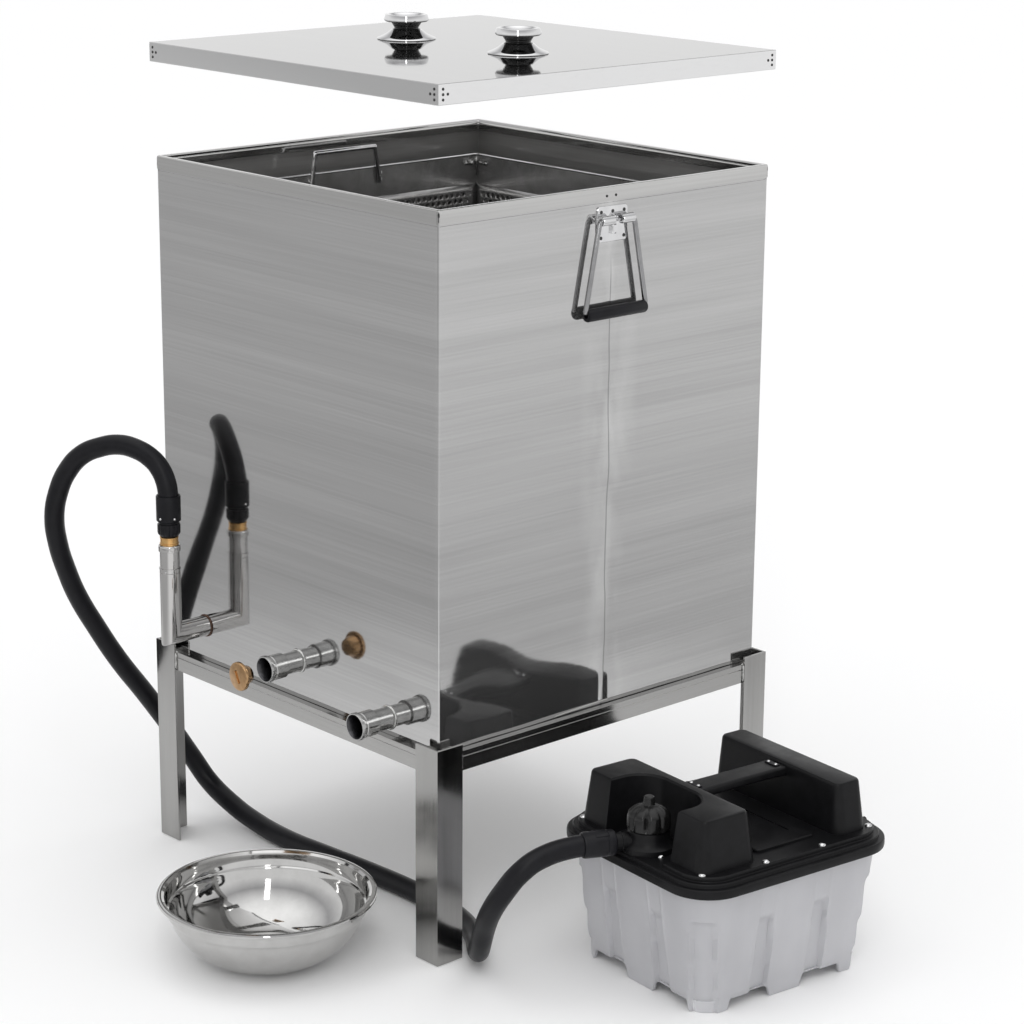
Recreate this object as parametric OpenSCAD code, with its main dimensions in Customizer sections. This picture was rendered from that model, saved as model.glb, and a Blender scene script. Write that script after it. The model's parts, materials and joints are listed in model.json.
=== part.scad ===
// Electric steam wax melter: a square sheet-steel tank on an angle stand, a perforated basket,
// a lifted lid, a steam generator with its hose, a brass plug and a collecting bowl.
// Millimetres, +Z up, floor at z = 0. The outlets face -Y.

/* [Tank] */
// Outer width of the square tank wall
tank_w = 544; // [500:1:546]
// Height of the rim's top above the floor
tank_top = 917; // [850:1:960]
// Thickness of the tank's sheet
sheet_t = 1.5; // [1:0.1:2.5]
// Height of the hemmed band round the rim
rim_h = 17; // [12:1:20]
// How far the rim band stands out from the wall
rim_out = 1; // [0.5:0.1:2]
// How far the rim turns in over the wall
rim_in = 8; // [5:0.5:10]
// Depth of the rim's inner lip
rim_lip = 14; // [8:1:20]
// Fall of the tank floor from back to front
floor_fall = 14; // [6:1:18]

/* [Stand] */
// Height of the legs
leg_h = 276; // [250:1:320]
// Flange of the leg angle
leg_flange = 40; // [30:1:50]
// Flange of the rail angle
rail_flange = 25; // [22:1:30]
// Thickness of the leg angle and of the flanges that carry the tank
angle_t = 3; // [2:0.5:5]
// Thickness of the rails' upright flange
rail_t = 5; // [3:0.5:6]
// How far the legs rise above the rails
leg_rise = 10; // [4:1:20]
// Space between the tank wall and the inner face of the legs
stand_gap = 9.5; // [8:0.5:18]

/* [Lid] */
// Outer width of the lid
lid_w = 552; // [552:1:560]
// Height of the lid's skirt
lid_skirt = 24; // [16:1:26]
// Thickness of the lid's sheet
lid_t = 1.5; // [1:0.1:2]
// Height of the hem along the skirt's lower edge
lid_hem = 7; // [4:1:12]
// How far the lid is lifted off the rim
lid_raise = 140; // [60:1:200]
// Distance between the two knobs
knob_span = 210; // [160:1:320]
// Diameter of the knob's conical base
knob_base_d = 75; // [64:1:90]
// Height of the knob's base
knob_base_h = 12; // [9:1:16]
// Diameter of the knob's cap
knob_cap_d = 57; // [48:1:64]
// Height of the whole knob
knob_h = 31; // [28:1:40]

/* [Basket] */
// Outer width of the basket
basket_w = 474; // [440:1:490]
// Height of the basket's top edge above the floor
basket_top = 877; // [840:1:885]
// Height of the plain band round the basket's top
basket_band_h = 42; // [30:1:60]
// Height of the basket's floor above the feet of its posts
basket_foot = 30; // [20:1:60]
// Thickness of the basket's sheet
basket_t = 1.5; // [1:0.1:2]
// Flange of the basket's corner posts
post_flange = 24; // [18:1:30]
// Thickness of the basket's corner posts
post_t = 2; // [1.5:0.1:3]
// Diameter of a perforation
hole_d = 13; // [6:1:16]
// Distance between perforations
hole_pitch = 26; // [24:1:40]
// Plain margin round each perforated panel
hole_margin = 14; // [12:1:30]
// Diameter of the lifting handle's rod
basket_rod_d = 6.5; // [5:0.1:8]
// Outer width of a lifting handle
basket_handle_w = 123; // [90:1:160]
// How far a lifting handle stands above the basket's top edge
basket_handle_rise = 29; // [20:1:30]
// How far a lifting handle reaches down inside the band
basket_handle_drop = 23; // [12:1:28]

/* [Pipes] */
// Outer diameter of the steel pipe
pipe_d = 26.9; // [24:0.1:28]
// Bore of the steel pipe
pipe_bore = 21.6; // [18:0.1:22]
// Distance of the steam inlet from the tank's middle
inlet_x = -190; // [-205:1:-150]
// Height of the steam inlet
inlet_z = 314; // [300:1:325]
// Distance of the riser's axis from the wall
riser_off = 54; // [46:1:70]
// Height of the riser's top above the inlet's axis
riser_h = 84; // [70:1:110]
// Distance of the wax outlet from the tank's middle
wax_x = 4; // [-60:1:40]
// Height of the wax outlet
wax_z = 315; // [300:0.5:320]
// Distance of the water outlet from the tank's middle
water_x = 180; // [120:1:200]
// Height of the water outlet
water_z = 288; // [285:0.5:295]
// Length of an outlet in front of the wall
outlet_len = 53; // [44:1:70]
// Diameter of the ring at an outlet's mouth
mouth_d = 33.5; // [32:0.5:40]
// Bore of an outlet's mouth
mouth_bore = 30; // [27:0.5:30]

/* [Plug] */
// Diameter of the plug's face
plug_d = 36.5; // [34:0.5:42]
// Thickness of the plug's face
plug_face_t = 5; // [3:0.5:8]
// Length of the plug's tapered stem
plug_stem = 12; // [10:1:18]
// How far the plug is drawn out of the outlet
plug_out = 36; // [20:1:60]

/* [Hose] */
// Diameter of the hose
hose_d = 26; // [22:0.5:26]
// Outer diameter of the hose collars
collar_d = 31.5; // [30:0.5:36]
// Length of the collar above the riser
collar_len = 34; // [28:1:50]

/* [Handles] */
// Height of the bail's axis below the rim's top
bail_drop = 38.5; // [38.5:0.5:60]
// Distance of the bail's axis from the wall
bail_off = 9.5; // [9:0.5:14]
// Diameter of the bail's rod
bail_rod = 6; // [5:0.1:7]
// Distance from the bail's axis to the grip's axis
bail_len = 111; // [90:1:130]
// Width between the bail's arms at the axis
bail_top_w = 64; // [58:1:76]
// Width between the bail's arms at the grip
bail_low_w = 110; // [84:1:120]
// Diameter of the grip
grip_d = 15.5; // [13:0.5:16]
// Width of the handle's plate
plate_w = 50; // [44:1:54]
// Height of the handle's plate
plate_h = 43; // [36:1:44]
// Thickness of the handle's plate
plate_t = 2; // [1.5:0.1:2.5]

/* [Steam generator] */
// Width of the cover's flange
cover_w = 284; // [276:1:292]
// Depth of the cover's flange
cover_d = 317; // [310:1:324]
// Corner radius of the cover's flange
cover_r = 54; // [46:1:58]
// Height of the tub
tub_h = 155; // [140:1:170]
// Width of the tub at the floor
tub_low_w = 228; // [218:1:236]
// Depth of the tub at the floor
tub_low_d = 254; // [244:1:264]
// Wall of the tub
tub_wall = 4; // [3:0.5:5]
// Thickness of the cover's flange
flange_t = 12; // [11:1:15]
// Height of the cover's deck above its flange
deck_rise = 11; // [9:1:13]
// Height of the towers above the deck
tower_h = 62; // [58:1:74]
// Width of the carry handle
carry_w = 35; // [24:1:36]
// Thickness of the carry handle
carry_t = 12; // [10:1:20]
// Diameter of the filler neck
neck_d = 41; // [36:1:42]
// Diameter of the filler cap
filler_cap_d = 50; // [49:1:52]

/* [Bowl] */
// Diameter of the bowl's rim
bowl_d = 267; // [220:1:280]
// Height of the bowl
bowl_h = 84; // [70:1:110]
// Diameter of the bowl's flat base
bowl_base_d = 120; // [90:1:150]
// Thickness of the bowl's sheet
bowl_t = 1.5; // [1:0.1:2.5]

/* [Hidden] */
$fn = 48;
eps = 0.01;
// Clearances: fixed joints, moving pieces that pass each other, the hinge pins in their knuckles
weld_gap = 0.05;
move_gap = 0.3;
pivot_gap = 0.05;

// The frame's origin is under the middle of the whole set; these place the tank's middle in it
set_middle_x = 178;
set_middle_y = -132.25;
// The generator and the bowl stand beside the tank, measured from its middle
gen_x = 492.9;
gen_y = -7.7;
gen_yaw = -5.8;
bowl_x = 121;
bowl_y = -415.5;

// Stand and tank
leg_half = tank_w / 2 + stand_gap + angle_t;
rail_top = leg_h - leg_rise;
rail_bottom = rail_top - rail_flange;
tank_bottom = rail_bottom + angle_t;
wall_out = tank_w / 2;
wall_in = wall_out - sheet_t;
wall_h = tank_top - sheet_t - tank_bottom;
rim_half = wall_out + rim_out;
floor_t = 2;
floor_front = tank_bottom + 18;

// Pipes
riser_y = -wall_out - riser_off;
riser_top = inlet_z + riser_h;
pipe_in = 6;
bead_w = 4;
bead_out = 2.5;
socket_len = 36;
socket_neck_d = pipe_d - 1.4;
socket_ring_h = 12;
socket_ring_d = pipe_d + 1.8;
adapter_d = 24;
adapter_seat = 5;
adapter_h = 11;
nut_d = 29.5;
nut_h = 17;
nut_neck_h = 3;
nut_neck_d = 25;
socket_top = riser_top + socket_len;
adapter_top = socket_top + adapter_h;
nut_top = adapter_top + nut_h + nut_neck_h;
collar_top = nut_top + collar_len;
collar_floor = 4;
hose_fit = 0.2;
outlet_step = outlet_len - 27;
outlet_socket_d = mouth_d - 3;
mouth_ring = 6;
seat_taper = 0.33;
seat_len = plug_stem + 0.6;

// Basket, which stands on two angle runners inside the tank
basket_half = basket_w / 2;
runner_under = 18.5;
runner_flange = wall_in - basket_half + runner_under;
runner_web = 25;
runner_end = 30;
runner_t = 3;
runner_top = inlet_z + 32;
panel_half = basket_half - post_t;
basket_inside = panel_half - basket_t;
basket_floor_z = runner_top + basket_foot;
band_bottom = basket_top - basket_band_h;

// Lid
lid_seat = tank_top + move_gap;
lid_under = lid_seat + lid_raise;
lid_top = lid_under + lid_t;
knob_cap_h = 8;
knob_waist_d = 32;
knob_neck_d = 41;

// Side handles
bail_x = wall_out + bail_off;
bail_z = tank_top - bail_drop;
knuckle_d = bail_rod + 6;
knuckle_len = 20;
bail_arm_d = bail_rod + 0.4;
bail_bend = 0.75 * bail_rod;
grip_bend = 5;
arm_clear = 2.5;
knuckle_gap = bail_top_w - bail_rod - 2 * arm_clear - 2 * knuckle_len;

// Generator
tub_top_w = cover_w - 22;
tub_top_d = cover_d - 22;
tub_low_r = 26;
tub_floor = 18;
tub_floor_t = 3;
flute_w = 24;
flute_deep = 2;
flute_top = 108;
flute_at = 43;
corner_flute_w = 27;
foot_notch_w = 62;
foot_notch_h = 13;
foot_notch_at = 56;
flange_top = tub_h + flange_t;
ledge_z = flange_top + 5;
deck_z = flange_top + deck_rise;
tower_top = deck_z + tower_h;
tower_base_x = cover_w / 2 - 27;
tower_top_x = tower_base_x - 8;
tower_edge = 4;
tower_low_r = 30;
tower_top_r = 12;
front_base = [-cover_d / 2 + 24.5, -47];
front_top = [-cover_d / 2 + 32.5, -57];
back_base = [76, cover_d / 2 - 31.5];
back_top = [80, cover_d / 2 - 39.5];
neck_x = -2;
neck_y = -cover_d / 2 + 40.5;
neck_bore = neck_d - 8;
neck_h = 42;
neck_top = ledge_z + neck_h;
recess_w = 120;
recess_back = neck_y + 43;
recess_r = 35;
spout_turn = -20;
spout_d = 22;
spout_bore = 14;
spout_z = flange_top + collar_d / 2 + 0.5;
spout_len = 42;
gen_collar_from = 42;
gen_collar_len = 40;
cap_grip_z = neck_top - 10;
cap_side_h = 13;
cap_h = 25;
button_d = 14;
button_h = 8;
screw_d = 9;
screw_h = 3;

// Route of the hose along its axis, from the riser round the tank's corner, under the stand and
// up to the generator, measured from the tank's middle
hose_route = [
  [-194, -326, 515], [-203, -328, 531], [-216, -332, 543], [-237, -341, 553], [-259, -352, 556],
  [-280, -366, 551], [-298, -382, 540], [-311, -396, 519], [-322, -404, 490], [-332, -405, 455],
  [-338, -397, 415], [-342, -383, 376], [-343, -367, 338], [-338, -342, 290], [-330, -316, 243],
  [-325, -275, 184], [-319, -233, 120], [-310, -212, 82], [-291, -199, 50], [-251, -193, 29],
  [-200, -191, 17], [-126, -192, 13], [-52, -187, 13], [30, -180, 13], [117, -177, 13],
  [175, -180, 13], [222, -190, 13], [264, -208, 13], [300, -234, 15], [324, -253, 25],
  [343, -267, 45], [363, -278, 77], [385, -287, 108], [404, -286, 136], [416, -272, 160],
  [425, -248, 175]
];
hose_sides = 12;

// A point at a distance along the spout, measured from the tank's middle
function spout_point(along) =
  let (a = gen_yaw + spout_turn)
  [
    gen_x + neck_x * cos(gen_yaw) - neck_y * sin(gen_yaw) + along * sin(a),
    gen_y + neck_x * sin(gen_yaw) + neck_y * cos(gen_yaw) - along * cos(a),
    spout_z
  ];

function unit(v) = v / norm(v);

// Signed angle from one flat direction to another
function turn_angle(a, b) = atan2(a.x * b.y - a.y * b.x, a.x * b.x + a.y * b.y);

steel = [0.66, 0.66, 0.65];
dark_steel = [0.45, 0.45, 0.45];
chrome = [0.82, 0.82, 0.83];
brass = [0.72, 0.52, 0.26];
black = [0.09, 0.09, 0.10];
frosted = [0.80, 0.80, 0.82, 0.8];

// Places a piece that is drawn round the tank's middle
module tank_frame() {
  translate([-set_middle_x, -set_middle_y, 0]) children();
}

// Places a piece that is drawn round the generator's middle
module gen_frame() {
  tank_frame() translate([gen_x, gen_y, 0]) rotate([0, 0, gen_yaw]) children();
}

// Turns an outlet's own axis, along +Z, so that it points out of the front wall
module from_front_wall(x, z) {
  tank_frame() translate([x, -wall_out, z]) rotate([90, 0, 0]) children();
}

// A rectangle with round corners
module round_rect(w, d, r) {
  square([w - 2 * r, d], center = true);
  square([w, d - 2 * r], center = true);
  for (sx = [-1, 1], sy = [-1, 1])
    translate([sx * (w / 2 - r), sy * (d / 2 - r)]) circle(r);
}

module round_slab(w, d, r, h) {
  linear_extrude(h) round_rect(w, d, r);
}

// A square ring of sheet, given its outer and inner half widths
module square_ring(outer, inner, h) {
  difference() {
    translate([-outer, -outer, 0]) cube([2 * outer, 2 * outer, h]);
    translate([-inner, -inner, -eps]) cube([2 * inner, 2 * inner, h + 2 * eps]);
  }
}

// An upright angle whose outer corner is at the origin and whose flanges run along +X and +Y
module angle_post(flange, t, h) {
  cube([flange, t, h]);
  cube([t, flange, h]);
}

// A round rod bent in the XY plane along a list of points, with a bend radius for each inner point
module bent_rod(points, radii, d) {
  last = len(points) - 1;
  runs = [for (i = [0:last - 1]) unit(points[i + 1] - points[i])];
  turns = [for (i = [1:last - 1]) turn_angle(runs[i - 1], runs[i])];
  trims = [0, for (i = [0:last - 2]) radii[i] * tan(abs(turns[i]) / 2), 0];
  for (i = [0:last - 1]) {
    start = points[i] + runs[i] * trims[i];
    run = norm(points[i + 1] - points[i]) - trims[i] - trims[i + 1];
    translate(start) rotate([0, 90, atan2(runs[i].y, runs[i].x)]) cylinder(d = d, h = run);
  }
  for (i = [0:last - 2]) {
    side = sign(turns[i]);
    from = runs[i];
    inward = side * [-from.y, from.x];
    centre = points[i + 1] - from * trims[i + 1] + inward * radii[i];
    first = atan2(-inward.y, -inward.x) + min(turns[i], 0);
    translate(centre) rotate([0, 0, first])
      rotate_extrude(angle = abs(turns[i])) translate([radii[i], 0]) circle(d = d);
  }
}

// Stands a shape that is drawn in the XY plane up in the YZ plane
module upright() {
  rotate([90, 0, 90]) children();
}

// The left, back and right walls, folded from one sheet
module tank_shell() {
  depth = wall_out + wall_in;
  color(steel) tank_frame() translate([0, 0, tank_bottom]) difference() {
    translate([-wall_out, -wall_in, 0]) cube([tank_w, depth, wall_h]);
    translate([-wall_in, -wall_out, -eps]) cube([2 * wall_in, depth, wall_h + 2 * eps]);
  }
}

// The front wall, with the holes for the steam inlet and the outlets
module tank_front() {
  color(steel) tank_frame() difference() {
    translate([-wall_out, -wall_out, tank_bottom]) cube([tank_w, sheet_t, wall_h]);
    for (p = [[inlet_x, inlet_z], [wax_x, wax_z], [water_x, water_z]])
      translate([p.x, -wall_in + 1, p.y]) rotate([90, 0, 0])
        cylinder(d = pipe_d + 2 * weld_gap, h = sheet_t + 2);
  }
}

// The hem round the rim: an outer band, a flat top over the wall's edge and an inner lip
module rim_band() {
  lip_half = wall_in - rim_in;
  color(steel) tank_frame() {
    translate([0, 0, tank_top - sheet_t]) square_ring(rim_half, lip_half, sheet_t);
    translate([0, 0, tank_top - rim_h]) square_ring(rim_half, wall_out, rim_h - sheet_t);
    translate([0, 0, tank_top - rim_lip]) square_ring(lip_half + sheet_t, lip_half, rim_lip - sheet_t);
  }
}

// A floor sheet that falls towards the outlets
module tank_floor() {
  front = floor_front;
  back = floor_front + floor_fall;
  color(steel) tank_frame() translate([-wall_in, 0, 0]) upright()
    linear_extrude(2 * wall_in)
      polygon([[-wall_in, front], [wall_in, back], [wall_in, back + floor_t], [-wall_in, front + floor_t]]);
}

// An angle welded along a side wall, on which the basket's posts stand
module basket_runner(side) {
  run = 2 * (wall_in - runner_end);
  color(dark_steel) tank_frame() mirror([side > 0 ? 0 : 1, 0, 0]) translate([0, -run / 2, runner_top]) {
    translate([wall_in - runner_flange, 0, -runner_t]) cube([runner_flange, run, runner_t]);
    translate([wall_in - runner_t, 0, -runner_web]) cube([runner_t, run, runner_web - runner_t]);
  }
}

module basket_runner_left() basket_runner(-1);
module basket_runner_right() basket_runner(1);

// A welded outlet: pipe, stepped socket, mouth ring and a tapered seat for the plug
module outlet(x, z) {
  seat_end = outlet_len - seat_len;
  seat_low = mouth_bore - 2 * seat_taper * seat_len;
  color(dark_steel) from_front_wall(x, z) difference() {
    union() {
      translate([0, 0, -sheet_t - pipe_in]) cylinder(d = pipe_d, h = outlet_step + sheet_t + pipe_in);
      cylinder(d1 = pipe_d + 2 * bead_out, d2 = pipe_d, h = bead_w);
      translate([0, 0, outlet_step]) cylinder(d = outlet_socket_d, h = outlet_len - mouth_ring - outlet_step);
      translate([0, 0, outlet_len - mouth_ring]) cylinder(d = mouth_d, h = mouth_ring);
    }
    translate([0, 0, -sheet_t - pipe_in - 1]) cylinder(d = pipe_bore, h = outlet_len + sheet_t + pipe_in);
    translate([0, 0, seat_end]) cylinder(d1 = seat_low, d2 = mouth_bore, h = seat_len + eps);
  }
}

module wax_outlet() outlet(wax_x, wax_z);
module water_outlet() outlet(water_x, water_z);

// Keeps one side of the elbow's mitre: the level pipe's side or the riser's
module mitre_side(level) {
  reach = 200;
  far = level ? [reach, -reach] : [-reach, reach];
  translate([-reach / 2, riser_y, inlet_z]) upright() linear_extrude(reach)
    polygon([[-reach, -reach], far, [reach, reach]]);
}

module elbow_pipes(d, over) {
  intersection() {
    translate([inlet_x, -wall_in + pipe_in + over, inlet_z]) rotate([90, 0, 0])
      cylinder(d = d, h = riser_off + 2 * pipe_d);
    translate([inlet_x, 0, 0]) mitre_side(true);
  }
  intersection() {
    translate([inlet_x, riser_y, inlet_z - pipe_d]) cylinder(d = d, h = riser_h + pipe_d + over);
    translate([inlet_x, 0, 0]) mitre_side(false);
  }
}

// The steam inlet: a level pipe through the wall, mitred into an upright riser
module steam_elbow() {
  color(steel) tank_frame() difference() {
    union() {
      elbow_pipes(pipe_d, 0);
      translate([inlet_x, -wall_out, inlet_z]) rotate([90, 0, 0])
        cylinder(d1 = pipe_d + 2 * bead_out, d2 = pipe_d, h = bead_w);
    }
    elbow_pipes(pipe_bore, 1);
  }
}

module on_riser(z) {
  tank_frame() translate([inlet_x, riser_y, z]) children();
}

module riser_socket() {
  color(steel) on_riser(riser_top) difference() {
    union() {
      cylinder(d = socket_neck_d, h = socket_len - socket_ring_h);
      translate([0, 0, socket_len - socket_ring_h]) cylinder(d = socket_ring_d, h = socket_ring_h);
    }
    translate([0, 0, -1]) cylinder(d = pipe_bore - 2, h = socket_len + 2);
    translate([0, 0, socket_len - adapter_seat]) cylinder(d = adapter_d + 2 * weld_gap, h = adapter_seat + 1);
  }
}

module brass_adapter() {
  waist = 1.5;
  color(brass) on_riser(socket_top - adapter_seat) difference() {
    union() {
      cylinder(d = adapter_d, h = adapter_seat + 2);
      cylinder(d = adapter_d - waist, h = adapter_seat + adapter_h);
      translate([0, 0, adapter_seat + 4]) cylinder(d = adapter_d, h = adapter_h - 4);
    }
    translate([0, 0, -1]) cylinder(d = spout_bore, h = adapter_seat + adapter_h + 2);
  }
}

// The hose's screwed nut, with a chamfered foot and a narrow neck under the collar
module hose_nut() {
  chamfer = 3;
  color(black) on_riser(adapter_top) difference() {
    union() {
      cylinder(d1 = nut_d - 2 * chamfer, d2 = nut_d, h = chamfer);
      translate([0, 0, chamfer]) cylinder(d = nut_d, h = nut_h - chamfer);
      cylinder(d = nut_neck_d, h = nut_h + nut_neck_h);
    }
    translate([0, 0, -1]) cylinder(d = spout_bore, h = nut_h + nut_neck_h + 2);
  }
}

// A sleeve closed at its foot, drawn along +Z, in which a hose ends
module hose_collar(len) {
  difference() {
    cylinder(d = collar_d, h = len);
    translate([0, 0, -1]) cylinder(d = spout_bore, h = len + 2);
    translate([0, 0, collar_floor]) cylinder(d = hose_d + 2 * hose_fit, h = len);
  }
}

module hose_collar_tank() {
  color(black) on_riser(nut_top) hose_collar(collar_len);
}

// A point of the smooth curve through p1 and p2
function curve_point(p0, p1, p2, p3, t) =
  0.5 * (2 * p1 + (p2 - p0) * t + (2 * p0 - 5 * p1 + 4 * p2 - p3) * t * t
    + (3 * p1 - p0 - 3 * p2 + p3) * t * t * t);

// The hose's axis with a second point between each pair, straight inside both collars
hose_axis_points = concat(
  [for (z = [nut_top + collar_floor, collar_top]) [inlet_x, riser_y, z]],
  hose_route,
  [for (along = [gen_collar_from + gen_collar_len, gen_collar_from + collar_floor]) spout_point(along)]
);
hose_last = len(hose_axis_points) - 1;
hose_axis = [
  for (i = [0:hose_last - 1], half = [0, 0.5])
    let (
      p0 = hose_axis_points[max(i - 1, 0)],
      p1 = hose_axis_points[i],
      p2 = hose_axis_points[i + 1],
      p3 = hose_axis_points[min(i + 2, hose_last)],
      straight = i == 0 || i == hose_last - 1
    )
    straight ? p1 + (p2 - p1) * half : curve_point(p0, p1, p2, p3, half),
  hose_axis_points[hose_last]
];

// A tube of flat sides swept along a list of points; its run never turns to the across direction
module swept_tube(points, d, sides, across) {
  last = len(points) - 1;
  rings = [
    for (i = [0:last])
      let (
        run = unit(points[min(i + 1, last)] - points[max(i - 1, 0)]),
        u = unit(cross(across, run)),
        v = cross(run, u)
      )
      for (k = [0:sides - 1])
        points[i] + d / 2 * (cos(360 * k / sides) * u + sin(360 * k / sides) * v)
  ];
  walls = [
    for (i = [0:last - 1], k = [0:sides - 1])
      let (a = i * sides + k, b = i * sides + (k + 1) % sides)
      each [[a, a + sides, b], [b, a + sides, b + sides]]
  ];
  first_cap = [for (k = [0:sides - 1]) k];
  last_cap = [for (k = [sides - 1:-1:0]) last * sides + k];
  polyhedron(rings, concat(walls, [first_cap, last_cap]));
}

module steam_hose() {
  color(black) tank_frame() swept_tube(hose_axis, hose_d, hose_sides, [0, 1, 0]);
}

// A leg stands with its corner outside and its flanges turned to the tank
module leg(sx, sy) {
  color(steel) tank_frame() mirror([sx > 0 ? 1 : 0, 0, 0]) mirror([0, sy > 0 ? 1 : 0, 0])
    translate([-leg_half, -leg_half, 0]) angle_post(leg_flange, angle_t, leg_h);
}

module leg_front_left() leg(-1, -1);
module leg_front_right() leg(1, -1);
module leg_back_left() leg(-1, 1);
module leg_back_right() leg(1, 1);

// A rail that lies behind the flanges of two legs, with the flange that carries the tank at its foot
module rail(turn) {
  face = leg_half - angle_t - weld_gap;
  run = 2 * (face - rail_flange - weld_gap);
  color(steel) tank_frame() rotate([0, 0, turn]) translate([-run / 2, -face, rail_bottom]) {
    cube([run, rail_t, rail_flange]);
    cube([run, rail_flange, angle_t]);
  }
}

module rail_front() rail(0);
module rail_right() rail(90);
module rail_back() rail(180);
module rail_left() rail(270);

// Mirrors a piece that is drawn on the right wall to the side that is asked for
module on_side(side) {
  tank_frame() mirror([side > 0 ? 0 : 1, 0, 0]) children();
}

// A riveted plate with two rolled knuckles for the bail
module handle_plate(side) {
  plate_mid = bail_z - 6;
  stop_w = 7;
  color(chrome) on_side(side) difference() {
    union() {
      translate([wall_out, -plate_w / 2, plate_mid - plate_h / 2]) cube([plate_t, plate_w, plate_h]);
      for (s = [-1, 1]) translate([0, s * (knuckle_gap / 2 + knuckle_len / 2), bail_z]) {
        translate([bail_x, 0, 0]) rotate([90, 0, 0])
          cylinder(d = knuckle_d, h = knuckle_len, center = true);
        translate([wall_out + plate_t, -knuckle_len / 2, -bail_rod / 2])
          cube([bail_off - plate_t, knuckle_len, bail_rod]);
      }
      translate([wall_out, -stop_w / 2, bail_z - 18]) cube([plate_t + 4, stop_w, 12]);
    }
    translate([bail_x, 0, bail_z]) rotate([90, 0, 0])
      cylinder(d = bail_rod + 2 * pivot_gap, h = 2 * plate_w, center = true);
  }
}

module handle_plate_left() handle_plate(-1);
module handle_plate_right() handle_plate(1);

// Points along a flat path whose inner corners are rounded, each with its own radius
function rounded_path(points, radii, steps) =
  let (last = len(points) - 1)
  [
    points[0],
    for (i = [1:last - 1])
      let (
        before = unit(points[i] - points[i - 1]),
        turn = turn_angle(before, points[i + 1] - points[i]),
        inward = sign(turn) * [-before.y, before.x],
        start = points[i] - before * radii[i - 1] * tan(abs(turn) / 2),
        centre = start + inward * radii[i - 1]
      )
      for (k = [0:steps])
        let (a = abs(turn) * k / steps)
        centre + radii[i - 1] * (before * sin(a) - inward * cos(a)),
    points[last]
  ];

// The bail: two round pins in the knuckles, two spreading arms and a bar under the grip
module bail(side) {
  pin = knuckle_gap / 2 + 1;
  arm = knuckle_gap / 2 + knuckle_len + move_gap;
  top = bail_top_w / 2;
  low = bail_low_w / 2;
  corners = [[arm, 0], [top, 0], [low, -bail_len], [-low, -bail_len], [-top, 0], [-arm, 0]];
  path = rounded_path(corners, [bail_bend, grip_bend, grip_bend, bail_bend], 6);
  color(chrome) on_side(side) translate([bail_x, 0, bail_z]) {
    swept_tube([for (p = path) [0, p.x, p.y]], bail_arm_d, hose_sides, [1, 0, 0]);
    for (s = [-1, 1]) translate([0, s * (pin + arm + 1) / 2, 0]) rotate([90, 0, 0])
      cylinder(d = bail_rod, h = arm + 1 - pin, center = true);
  }
}

module bail_left() bail(-1);
module bail_right() bail(1);

module grip(side) {
  grip_len = bail_low_w - 2.4 * grip_bend;
  color(black) on_side(side) translate([bail_x, 0, bail_z - bail_len]) rotate([90, 0, 0]) difference() {
    cylinder(d = grip_d, h = grip_len, center = true);
    cylinder(d = bail_arm_d + 2 * weld_gap, h = grip_len + 2, center = true);
  }
}

module grip_left() grip(-1);
module grip_right() grip(1);

module basket_band() {
  color(steel) tank_frame() translate([0, 0, band_bottom])
    square_ring(panel_half, basket_inside, basket_band_h);
}

// A flat sheet with staggered round holes, drawn from its lower left corner
module perforated_sheet(w, h) {
  row_step = hole_pitch * sin(60);
  rows = floor((h - 2 * hole_margin - hole_d) / row_step);
  cols = floor((w - 2 * hole_margin - hole_d - hole_pitch / 2) / hole_pitch);
  left = (w - (cols + 0.5) * hole_pitch) / 2;
  low = (h - rows * row_step) / 2;
  linear_extrude(basket_t) difference() {
    square([w, h]);
    for (r = [0:rows], c = [0:cols])
      translate([left + (c + (r % 2) / 2) * hole_pitch, low + r * row_step]) circle(d = hole_d, $fn = 24);
  }
}

// One wall of the basket, between its floor and its band
module basket_panel(turn, half_run) {
  color(steel) tank_frame() rotate([0, 0, turn])
    translate([-half_run, -basket_inside, basket_floor_z]) rotate([90, 0, 0])
      perforated_sheet(2 * half_run, band_bottom - basket_floor_z);
}

module basket_panel_front() basket_panel(0, panel_half);
module basket_panel_back() basket_panel(180, panel_half);
module basket_panel_right() basket_panel(90, basket_inside);
module basket_panel_left() basket_panel(270, basket_inside);

module basket_floor() {
  color(steel) tank_frame() translate([-panel_half, -panel_half, basket_floor_z - basket_t])
    perforated_sheet(2 * panel_half, 2 * panel_half);
}

// A corner post outside the basket's sheets, from its foot to its top edge
module basket_post(sx, sy) {
  color(steel) tank_frame() mirror([sx > 0 ? 1 : 0, 0, 0]) mirror([0, sy > 0 ? 1 : 0, 0])
    translate([-basket_half, -basket_half, runner_top]) angle_post(post_flange, post_t, basket_top - runner_top);
}

module basket_post_front_left() basket_post(-1, -1);
module basket_post_front_right() basket_post(1, -1);
module basket_post_back_left() basket_post(-1, 1);
module basket_post_back_right() basket_post(1, 1);

// A bent rod welded inside the band
module basket_handle(side) {
  bend = 11;
  half = basket_handle_w / 2 - basket_rod_d / 2;
  top = basket_top + basket_handle_rise - basket_rod_d / 2;
  foot = basket_top - basket_handle_drop;
  color(chrome) on_side(side) translate([basket_inside - basket_rod_d / 2, 0, 0]) upright()
    bent_rod([[half, foot], [half, top], [-half, top], [-half, foot]], [bend, bend], basket_rod_d);
}

module basket_handle_left() basket_handle(-1);
module basket_handle_right() basket_handle(1);

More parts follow.
